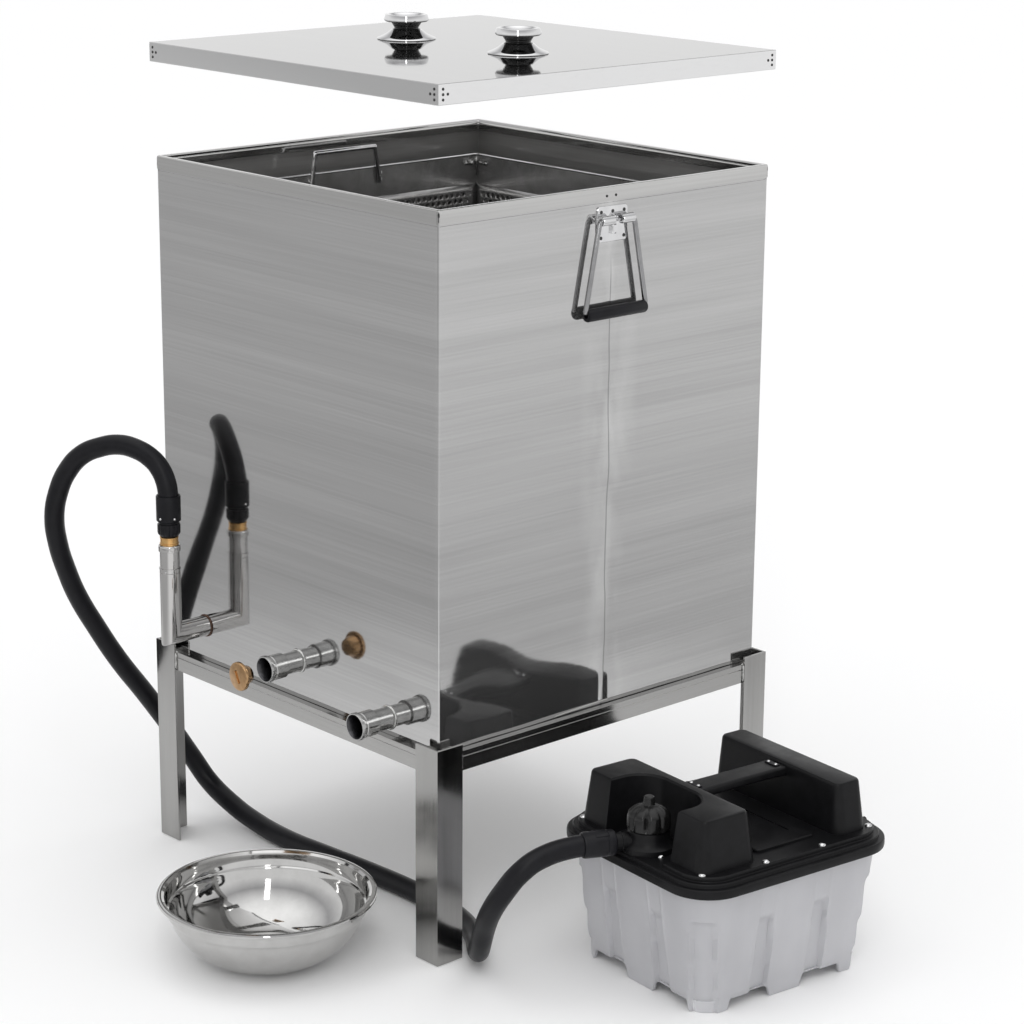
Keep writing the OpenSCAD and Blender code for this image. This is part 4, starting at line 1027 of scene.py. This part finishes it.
def basket_edge():
    """The rolled top edge of the basket's band."""
    low, high = (Vector(v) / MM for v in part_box("basket_band"))
    half, top, roll = (high.x - low.x) / 2, high.z, 1.5
    section = []
    for k in range(8):
        angle = math.pi * (2 * k + 1) / 8
        section.append((half - 1.2 + roll * math.cos(angle), top - roll + roll * math.sin(angle), 2.5))
    spot = Matrix.Translation(((low.x + high.x) / 2, (low.y + high.y) / 2, 0.0))
    mesh = placed(ring_band("basket_edge", section), Matrix.Scale(MM, 4) @ spot)
    piece("basket_edge", mesh, CHROME, "basket", (), 60.0)


def basket_welds():
    """Welds at the corners of the basket's band and at the feet of its grips."""
    low, high = (Vector(v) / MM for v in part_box("basket_band"))
    seams = []
    seed = 20
    for x, sx in ((low.x, 1), (high.x, -1)):
        for y, sy in ((low.y, 1), (high.y, -1)):
            seed += 1
            spot = (x + sx * 2.6, y + sy * 2.6)
            seams.append(weld_seam((*spot, high.z - 30.0), (*spot, high.z - 4.0), 2.2, seed))
            for part in (0.0, 1.0):
                run = Vector((sx * (1.0 - part), sy * part, 0.0))
                side = Vector((sx * part, sy * (1.0 - part), 0.0))
                start = Vector((x, y, high.z - 12.0)) + run * 9.0 + side * 2.0
                seams.append(weld_seam(start, start + run * 16.0, 4.2, seed + 10.0 * part))
    for name in ("left", "right"):
        foot_low, foot_high = (Vector(v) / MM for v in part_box("basket_handle_" + name))
        x = (foot_low.x + foot_high.x) / 2
        for y in (foot_low.y, foot_high.y):
            seed += 1
            seams.append(weld_seam((x, y, foot_low.z + 2.0), (x, y, foot_low.z + 16.0), 1.6, seed))
    made = placed(joined("basket_welds", seams), Matrix.Scale(MM, 4))
    piece("basket_welds", made, WELD_STEEL, "basket")


# The steam generator, in its own frame

TUB_H = 155.0
LEDGE_Z = 172.0
DECK_Z = 178.0
TOWER_TOP = 240.0
NECK = (-2.0, -118.0)
SPOUT_Z = 183.25
SPOUT_TURN = math.radians(-20.0)
FLUTE_AT = 43.0
FLUTE_TOP = 108.0
NOTCH_AT = 56.0
NOTCH_HALF = 31.0
NOTCH_H = 13.0


def ease(value):
    """A smooth step from 0 to 1."""
    share = min(1.0, max(0.0, value))
    return share * share * (3.0 - 2.0 * share)


def tub_dent(flat, along, height):
    """How far the tub's face stands in at a place: flutes on the flat faces, a window at each corner."""
    if not flat:
        half = 13.5 + 3.5 * (1.0 - height / 121.0)
        inside = ease((half - abs(along)) / 2.2 + 0.5) * ease((121.0 - height) / 2.2 + 0.5)
        frame_in = ease((half + 3.0 - abs(along)) / 2.2 + 0.5) * ease((124.0 - height) / 2.2 + 0.5)
        return 5.6 * inside - 1.6 * (frame_in - inside)
    off = abs(abs(along) - FLUTE_AT)
    half = 10.0 + 3.5 * (1.0 - min(height, FLUTE_TOP) / FLUTE_TOP)
    dent = 6.0 * ease((half - off) / 2.2 + 0.5) * ease((FLUTE_TOP - height) / 3.0 + 0.5)
    rib = ease(1.0 - abs(off - half - 2.6) / 2.2) * ease((height - 24.0) / 10.0)
    return dent - 1.2 * rib


def tub_foot(flat, along):
    """The height of the tub's lower edge, which is notched along each side."""
    if not flat:
        return 0.0
    off = abs(abs(along) - NOTCH_AT)
    return NOTCH_H * ease((NOTCH_HALF - off) / 4.0 + 0.5)


def tub_ring(level, inset, dented):
    """One ring of the tub at a level, set in from its outer face; the level counts up from the foot."""
    straight, corner = 96, 14
    share = max(level, 0.0) / TUB_H
    width, depth = 228.0 + 34.0 * share - 2 * inset, 254.0 + 41.0 * share - 2 * inset
    radius = max(8.0, 26.0 + 20.0 * share - inset)
    ring = []
    for side in range(4):
        long, reach = (width, depth) if side % 2 == 0 else (depth, width)
        spin = Matrix.Rotation(side * math.pi / 2, 3, "Z")
        half = long / 2 - radius
        spots = []
        for k in range(straight + 1):
            along = -half + 2.0 * half * k / straight
            spots.append((True, along, Vector((along, -reach / 2, 0.0)), Vector((0.0, 1.0, 0.0))))
        for k in range(1, corner):
            angle = math.radians(-90.0 + 90.0 * k / corner)
            out = Vector((math.cos(angle), math.sin(angle), 0.0))
            middle = Vector((half, -reach / 2 + radius, 0.0))
            along = radius * math.radians(90.0 * k / corner - 45.0)
            spots.append((False, along, middle + out * radius, -out))
        for flat, along, spot, inward in spots:
            foot = tub_foot(flat, along)
            blend = 18.0
            height = level if level > blend else foot + (blend - foot) * level / blend
            dent = tub_dent(flat, along, height) if dented else 0.0
            point = spin @ (spot + inward * dent)
            ring.append((point.x, point.y, height))
    return ring


def tub():
    """The frosted tub: fluted walls, notched foot, floor and open top."""
    outer = [0.0, 6.0, 12.0, 18.0] + [18.0 + 4.5 * k for k in range(1, 31)]
    rings = [[(x, y, 15.0) for x, y, _ in tub_ring(15.0, 4.0, False)], tub_ring(0.0, 4.0, False)]
    rings += [tub_ring(level, 0.0, True) for level in outer]
    rings.append(tub_ring(TUB_H, 0.0, False))
    rings.append(tub_ring(TUB_H, 4.0, False))
    rings += [tub_ring(level, 4.0, True) for level in (128.0, 122.0, 118.0, 112.0, 108.0, 103.0, 60.0, 19.0)]
    mesh = placed(skin("tub", rings), gen_frame())
    piece("tub", mesh, TUB_PLASTIC, "tank", ("reservoir_tub",), 50.0)


def tower(base, top):
    """A drafted tower with a rounded top edge; base and top are its spans from front to back."""
    low_y, high_y = (base[0] + base[1]) / 2, (top[0] + top[1]) / 2
    low_d, high_d = base[1] - base[0], top[1] - top[0]
    return loft([
        (230.0, low_d, 16.0, DECK_Z - 2.0, 0.0, low_y),
        (229.4, low_d - 0.6, 16.0, DECK_Z + 2.0, 0.0, low_y),
        (215.0, high_d, 9.0, TOWER_TOP - 4.0, 0.0, high_y),
        (213.6, high_d - 1.4, 8.4, TOWER_TOP - 1.8, 0.0, high_y),
        (211.4, high_d - 3.6, 7.6, TOWER_TOP - 0.5, 0.0, high_y),
        (208.5, high_d - 6.5, 6.6, TOWER_TOP, 0.0, high_y),
    ], 10)


def cover():
    """The black cover: stepped flange, deck with a raised panel, and two towers, one hollowed out."""
    base = loft([
        (279, 312, 51.5, TUB_H), (283, 316, 53.5, TUB_H + 1.2), (284, 317, 54, TUB_H + 3.0),
        (284, 317, 54, TUB_H + 9.5), (283, 316, 53.5, TUB_H + 11.2), (281, 314, 52.5, TUB_H + 12.0),
        (270.5, 303.5, 47.2, TUB_H + 12.4), (270, 303, 47, TUB_H + 13.0), (270, 303, 47, LEDGE_Z - 1.0),
        (268, 301, 46, LEDGE_Z), (257, 290, 40.5, LEDGE_Z), (256, 289, 40, LEDGE_Z + 0.8),
        (256, 289, 40, DECK_Z - 1.2), (253.6, 286.6, 38.8, DECK_Z),
    ], 12)
    panel = loft([
        (196, 92, 7, DECK_Z - 2.0, 0.0, 10.0), (196, 92, 7, DECK_Z + 2.8, 0.0, 10.0),
        (193.6, 89.6, 6, DECK_Z + 4.0, 0.0, 10.0),
    ], 5)
    inset = loft([
        (150, 56, 6, DECK_Z + 2.6, 0.0, 10.0), (152, 58, 6, DECK_Z + 9.0, 0.0, 10.0),
    ], 5)
    recess = loft([
        (118, 300, 34, LEDGE_Z, NECK[0], -224.5), (119.5, 301.5, 35, LEDGE_Z + 1.5, NECK[0], -224.5),
        (124, 306, 36, TOWER_TOP - 2.4, NECK[0], -224.5), (129, 311, 38, TOWER_TOP + 0.4, NECK[0], -224.5),
        (140, 320, 40, TOWER_TOP + 8.0, NECK[0], -224.5),
    ], 12)
    bore = placed(lathe([(0, -10), (16.5, -10), (16.5, 30), (0, 30)], 40),
                  Matrix.Translation((*NECK, TUB_H)))
    mesh = combined("cover", base, [
        ("UNION", tower((-134.0, -47.0), (-126.0, -57.0))), ("UNION", tower((76.0, 127.0), (80.0, 119.0))),
        ("UNION", panel), ("DIFFERENCE", inset), ("DIFFERENCE", recess), ("DIFFERENCE", bore),
    ])
    mesh = placed(mesh, gen_frame())
    piece("cover_moulding", mesh, COVER_BLACK, "tank", ("cover",), 28.0)


def carry_bar():
    """The bar between the towers, waisted for the hand, with a clip at each end."""
    stations = [
        (-66.0, 35.0), (-50.0, 35.0), (-40.0, 33.0), (10.0, 32.0), (64.0, 33.0), (74.0, 35.0), (88.0, 35.0),
    ]
    along = Matrix(((1, 0, 0, 0), (0, 0, 1, 0), (0, 1, 0, 229.5), (0, 0, 0, 1)))
    bar = placed(loft([(wide, 12.0, 3.6, y) for y, wide in stations], 5), along)
    bar = combined("carry_bar", bar, [
        ("DIFFERENCE", tower((-133.9, -46.9), (-125.9, -56.9))),
        ("DIFFERENCE", tower((75.9, 127.1), (79.9, 119.1))),
    ])
    piece("carry_bar", placed(bar, gen_frame()), COVER_BLACK, "tank", ("carry_handle",))
    clips = []
    for y in (-50.0, 72.0):
        clips.append(placed(loft([(20, 8, 1.5, 235.0), (20, 8, 1.5, 236.6), (18.6, 6.6, 1.0, 237.2)], 4),
                            Matrix.Translation((0.0, y, 0.0))))
    piece("carry_clips", placed(joined("carry_clips", clips), gen_frame()), RUBBER, "tank")


def screw_heads():
    """Domed screw heads on the deck, beside the filler and on the handle's clips."""
    places = [(sx * 122.5, sy * 44.0, DECK_Z, 4.5) for sx in (-1, 1) for sy in (-1, 1)]
    places += [(sx * 110.0, sy * 130.0, DECK_Z, 4.5) for sx in (-1, 1) for sy in (-1, 1)]
    places += [(NECK[0] + x, NECK[1] - 6.0, LEDGE_Z, 4.5) for x in (-52.0, 31.0)]
    places += [(sx * 6.5, y, 237.0, 2.2) for sx in (-1, 1) for y in (-50.0, 72.0)]
    heads = []
    for x, y, z, r in places:
        dome = ((0, 0), (1, 0), (0.97, 0.2), (0.75, 0.48), (0.4, 0.62), (0, 0.66))
        head = lathe([(r * out, r * up) for out, up in dome], 24)
        heads.append(placed(head, Matrix.Translation((x, y, z))))
    piece("screw_heads", placed(joined("screw_heads", heads), gen_frame()), CHROME, "tank",
          ("cover_screws",))


def filler():
    """The filler neck with its steam spout, the hose's collar and the lobed cap."""
    at_neck = gen_frame() @ Matrix.Translation((*NECK, 0.0))
    neck = hollow([
        (16.5, 172.05), (24.5, 172.05), (24.5, 173.4), (22.4, 175.0), (20.8, 178.5), (20.5, 181.0),
        (20.4, 214.0), (16.5, 214.0),
    ], 64)
    piece("filler_throat", placed(neck, at_neck), COVER_BLACK, "tank", ("filler_neck",))
    boss = hollow([
        (20.9, 172.1), (33.0, 172.1), (32.6, 178.6), (29.0, 181.0), (26.4, 185.0), (25.2, 190.0),
        (24.8, 195.0), (24.0, 196.6), (20.9, 196.6),
    ], 64)
    piece("filler_boss", placed(boss, at_neck), COVER_BLACK, "tank")
    out = at_neck @ Matrix.Translation((0, 0, SPOUT_Z)) @ Matrix.Rotation(SPOUT_TURN, 4, "Z")
    out = out @ Matrix.Rotation(math.pi / 2, 4, "X")
    spout = hollow([
        (7.0, 19.0), (11.0, 19.0), (11.0, 31.0), (11.6, 31.5), (11.6, 34.0), (11.0, 34.5), (11.0, 42.0),
        (7.0, 42.0),
    ])
    piece("spout", placed(spout, out), COVER_BLACK, "tank", ("steam_spout",))
    collar = hollow([
        (11.1, 42.05), (13.6, 42.05), (15.2, 43.2), (15.7, 44.6), (15.7, 51.0), (15.2, 51.6), (15.2, 52.8),
        (15.75, 53.4), (15.75, 79.6), (15.0, 81.6), (14.2, 82.0), (13.1, 82.0), (13.05, 46.0),
        (11.1, 45.6),
    ])
    tabs = [collar]
    for angle in (60.0, 120.0):
        tab = loft([(5, 16, 1.2, 15.0), (5, 16, 1.2, 16.6), (4, 14.6, 1.0, 17.0)], 3)
        tab = placed(tab, Matrix.Rotation(math.pi / 2, 4, "Y"))
        spot = Matrix.Rotation(math.radians(angle), 4, "Z") @ Matrix.Translation((-0.6, 0.0, 60.0))
        tabs.append(placed(tab, spot @ Matrix.Rotation(math.pi / 2, 4, "X")))
    piece("hose_collar_spout", placed(joined("collar", tabs), out), RUBBER, "tank",
          ("hose_collar_generator",))
    cap = lathe([
        (0, 214.3), (20.8, 214.3), (20.8, 198.0), (25.0, 198.0), (26.4, 199.0), (26.6, 201.0, 0.6),
        (26.4, 204.0, 1), (26.0, 213.0, 1), (24.8, 216.6, 1), (22.2, 219.4, 0.9), (18.8, 222.6, 0.6),
        (14.6, 225.0, 0.3), (10.5, 226.0), (7.4, 226.4), (6.9, 227.2), (6.6, 234.4), (6.0, 236.2),
        (4.8, 237.0), (0, 237.0),
    ], 96, 8, 3.6)
    piece(
        "filler_cap_lobed", placed(cap, at_neck), KNOB_BLACK, "filler_cap", ("filler_cap",),
    )


# The bowl


def bowl():
    """A spun bowl with a flat foot, a step under the rim and a rolled edge."""
    outer = [
        (0, 0.9), (47, 0.9), (51, 0.0), (56, 0.4), (66, 3.4), (79, 9.4), (90.5, 17.2), (100.5, 26.4),
        (108.3, 36.6), (114, 47.0), (117.4, 57.0), (118.6, 61.2), (119.4, 62.4), (122.0, 63.6),
        (122.9, 66.0), (124.4, 76.0), (125.4, 79.6), (127.6, 81.2), (130.8, 80.6), (132.7, 79.4),
        (133.4, 80.2), (133.5, 82.0), (132.6, 83.4), (130.4, 84.0), (127.0, 83.6),
    ]
    inner = [
        (123.9, 81.4), (122.8, 76.4), (121.4, 66.6), (120.5, 65.0), (118.2, 63.8), (117.2, 61.6),
        (116.0, 57.4), (112.6, 47.6), (107.0, 37.6), (99.3, 27.6), (89.5, 18.6), (78.2, 10.9), (65.4, 4.9),
        (56, 2.0), (51, 1.8), (47, 2.5), (20.0, 2.7), (0, 2.7),
    ]
    mesh = placed(lathe(outer + inner, 128), upright_at(node_axis("bowl")))
    piece("bowl_spun", mesh, BOWL_STEEL, "bowl", ("bowl",), 24.0)


# The steam hose, along the route of its solid, in the tank's frame

HOSE_D = 26
SPOUT_OUT = Vector((-0.435231, -0.900319, 0.0))
SPOUT_AT = Vector((478.986, -124.894, SPOUT_Z))
HOSE_START = [(-190, -326, 469), (-190, -326, 499)]
HOSE_BEND = [
    (-194, -326, 515), (-203, -328, 531), (-216, -332, 543), (-237, -341, 553), (-259, -352, 556),
    (-280, -366, 551), (-298, -382, 540), (-311, -396, 519), (-322, -404, 490), (-332, -405, 455),
    (-338, -397, 415), (-342, -383, 376), (-343, -367, 338), (-338, -342, 290), (-330, -316, 243),
    (-325, -275, 184), (-319, -233, 120), (-310, -212, 82), (-291, -199, 50), (-251, -193, 29),
    (-200, -191, 17), (-126, -192, 13), (-52, -187, 13), (30, -180, 13), (117, -177, 13),
    (175, -180, 13), (222, -190, 13), (264, -208, 13), (300, -234, 15), (324, -253, 25),
    (343, -267, 45), (363, -278, 77), (385, -287, 108), (404, -286, 136), (416, -272, 160),
    (425, -248, 175),
]
HOSE_END = [tuple(SPOUT_AT + SPOUT_OUT * 82), tuple(SPOUT_AT + SPOUT_OUT * 46)]


def steam_hose():
    """The hose as one smooth curve through the route's points."""
    points = [tank_point(*p) for p in HOSE_START + HOSE_BEND + HOSE_END]
    curve = bpy.data.curves.new("hose", "CURVE")
    curve.dimensions = "3D"
    curve.resolution_u = 6
    curve.bevel_depth = HOSE_D / 2 * MM
    curve.bevel_resolution = 8
    curve.use_fill_caps = True
    line = curve.splines.new("BEZIER")
    line.bezier_points.add(len(points) - 1)
    for knot, point in zip(line.bezier_points, points):
        knot.co = point
        knot.handle_left_type = "AUTO"
        knot.handle_right_type = "AUTO"
    curve.materials.append(RUBBER)
    hose = bpy.data.objects.new("hose", curve)
    bpy.context.scene.collection.objects.link(hose)
    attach(hose, "tank")
    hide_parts("steam_hose")


# Nodes that are shown as they are, with their finish and softened edges

SHOWN = [
    (INNER_STEEL, 0.4, ["tank_floor", "basket_runner_left", "basket_runner_right"]),
    (STAND_STEEL, 0.7, ["leg_front_left", "leg_front_right", "leg_back_left", "leg_back_right"]),
    (LID_PAINTED_LIGHT_STEEL, 0.6, ["lid_pan"]),
    (BASKET_STEEL, 0.4, [
        "basket_band", "basket_post_front_left", "basket_post_front_right", "basket_post_back_left",
        "basket_post_back_right",
    ]),
    (PIPE_STEEL, 0.4, ["heating_element"]),
    (COVER_BLACK, 0.5, ["mains_gland"]),
]


def shown_nodes():
    """Gives the shown nodes their finish and softens their edges."""
    for finish, width, names in SHOWN:
        for name in names:
            nodes[name].data.materials.clear()
            nodes[name].data.materials.append(finish)
            softened(nodes[name], width)


tank_wall()
rim_hem()
rim_marks()
rails()
stand_welds()
steam_inlet()
outlet("wax_spout", WAX, "wax_outlet")
outlet("water_spout", WATER, "water_outlet")
plug()
for handle_side, handle_name in ((1.0, "right"), (-1.0, "left")):
    side_handle(handle_side, handle_name)
    lid_knob(handle_name)
lid_rivets()
basket_sheets()
basket_grips()
basket_edge()
basket_welds()
tub()
cover()
carry_bar()
screw_heads()
filler()
bowl()
steam_hose()
shown_nodes()


# Camera, light and floor

CAMERA_AT = Vector((2.45866, -2.18505, 1.44162))
CAMERA_RIGHT = Vector((0.67295, 0.73965, 0.00744))
CAMERA_UP = Vector((-0.20446, 0.17633, 0.96286))
CAMERA_LENS = 98.5685


def photo_camera():
    """The camera at the photograph's viewing angle."""
    data = bpy.data.cameras.new("camera")
    data.lens = CAMERA_LENS
    data.sensor_width = 36.0
    data.clip_end = 100.0
    cam = bpy.data.objects.new("camera", data)
    back = CAMERA_RIGHT.cross(CAMERA_UP).normalized()
    turn = Matrix((CAMERA_RIGHT, CAMERA_UP, back)).transposed()
    cam.matrix_world = Matrix.Translation(CAMERA_AT) @ turn.to_4x4()
    bpy.context.scene.collection.objects.link(cam)
    bpy.context.scene.camera = cam


def studio_world():
    """A pale studio: bright at the horizon and overhead, softer between."""
    world = bpy.data.worlds.new("studio")
    bpy.context.scene.world = world
    world.use_nodes = True
    tree = world.node_tree
    ground = tree.nodes["Background"]
    place = put(tree, "TexCoord").outputs["Generated"]
    height = put(tree, "SeparateXYZ", Vector=place).outputs["Z"]
    tone = put(tree, "ValToRGB", Fac=height).outputs["Color"]
    ramp = tone.node.color_ramp
    ramp.elements[0].position = 0.30
    ramp.elements[0].color = (1.0, 1.0, 1.0, 1.0)
    ramp.elements[1].position = 1.0
    ramp.elements[1].color = (1.68, 1.68, 1.68, 1.0)
    middle = ramp.elements.new(0.6)
    middle.color = (0.55, 0.55, 0.56, 1.0)
    tree.links.new(tone, ground.inputs["Color"])
    ground.inputs["Strength"].default_value = 1.0


LAMP_AT = Vector((1.95, -1.85, 2.35))
LAMP_AIM = Vector((-0.05, 0.0, 0.45))
LAMP_SIZE = (0.3, 2.4)
LAMP_WATTS = 13.0


def studio_lamp():
    """A soft upright strip of light beside the camera, for the highlights on round and black pieces."""
    data = bpy.data.lights.new("strip", "AREA")
    data.shape = "RECTANGLE"
    data.size, data.size_y = LAMP_SIZE
    data.energy = LAMP_WATTS
    lamp = bpy.data.objects.new("strip", data)
    lamp.location = LAMP_AT
    lamp.rotation_euler = (LAMP_AIM - LAMP_AT).to_track_quat("-Z", "Y").to_euler()
    bpy.context.scene.collection.objects.link(lamp)


# The floor's grey is painted shade, standing in for dimmer studio light to the sides, for the steel walls to
# reflect; it goes by a place's distance to the side of the camera's line over the picture's width there

FLOOR_AHEAD = Vector((-0.71087, 0.64948, 0.0)).normalized()
FLOOR_SPAN = 16.0
FLOOR_PAINTED_SHADE = [
    (-9.0, 0.46), (-7.2, 0.60), (-4.0, 0.61), (-2.0, 0.53), (-1.1, 0.97), (1.05, 0.97), (1.7, 0.64),
    (3.4, 0.80), (5.6, 0.92), (8.0, 0.97), (14.0, 0.97),
]


def floor_painted_shade():
    """A pale floor, white in front of the camera, with painted shade greying it to both sides."""
    mat, tree, bsdf = shader("studio_floor")
    place = put(tree, "TexCoord").outputs["Object"]

    def along(direction):
        made = put(tree, "VectorMath", {"operation": "DOT_PRODUCT"})
        feed(tree, made.inputs[0], place)
        feed(tree, made.inputs[1], direction)
        return made.outputs["Value"]

    right = Vector((FLOOR_AHEAD.y, -FLOOR_AHEAD.x, 0.0))
    width = calc(tree, "MULTIPLY_ADD", along(FLOOR_AHEAD), 0.2, 0.72)
    ratio = calc(tree, "DIVIDE", along(right), calc(tree, "MAXIMUM", width, 0.3))
    share = spread(tree, ratio, 0.0, 1.0, (-FLOOR_SPAN, FLOOR_SPAN))
    tone = put(tree, "ValToRGB", Fac=share).outputs["Color"]
    ramp = tone.node.color_ramp
    for i, (at, grey) in enumerate(FLOOR_PAINTED_SHADE):
        position = (at + FLOOR_SPAN) / 2.0 / FLOOR_SPAN
        stop = ramp.elements[i] if i < 2 else ramp.elements.new(position)
        stop.position = position
        stop.color = (grey, grey, grey, 1.0)
    tree.links.new(tone, bsdf.inputs["Base Color"])
    bsdf.inputs["Roughness"].default_value = 0.8
    bsdf.inputs["Specular IOR Level"].default_value = 0.1
    return mat


def studio_floor():
    """A wide floor."""
    reach = 30.0
    mesh = bpy.data.meshes.new("studio_floor")
    mesh.from_pydata(
        [(-reach, -reach, 0), (reach, -reach, 0), (reach, reach, 0), (-reach, reach, 0)], [], [(0, 1, 2, 3)]
    )
    mesh.materials.append(floor_painted_shade())
    ground = bpy.data.objects.new("studio_floor", mesh)
    ground.location.z = -0.0005
    bpy.context.scene.collection.objects.link(ground)


photo_camera()
studio_world()
studio_lamp()
studio_floor()
bpy.context.scene.view_settings.view_transform = "Standard"
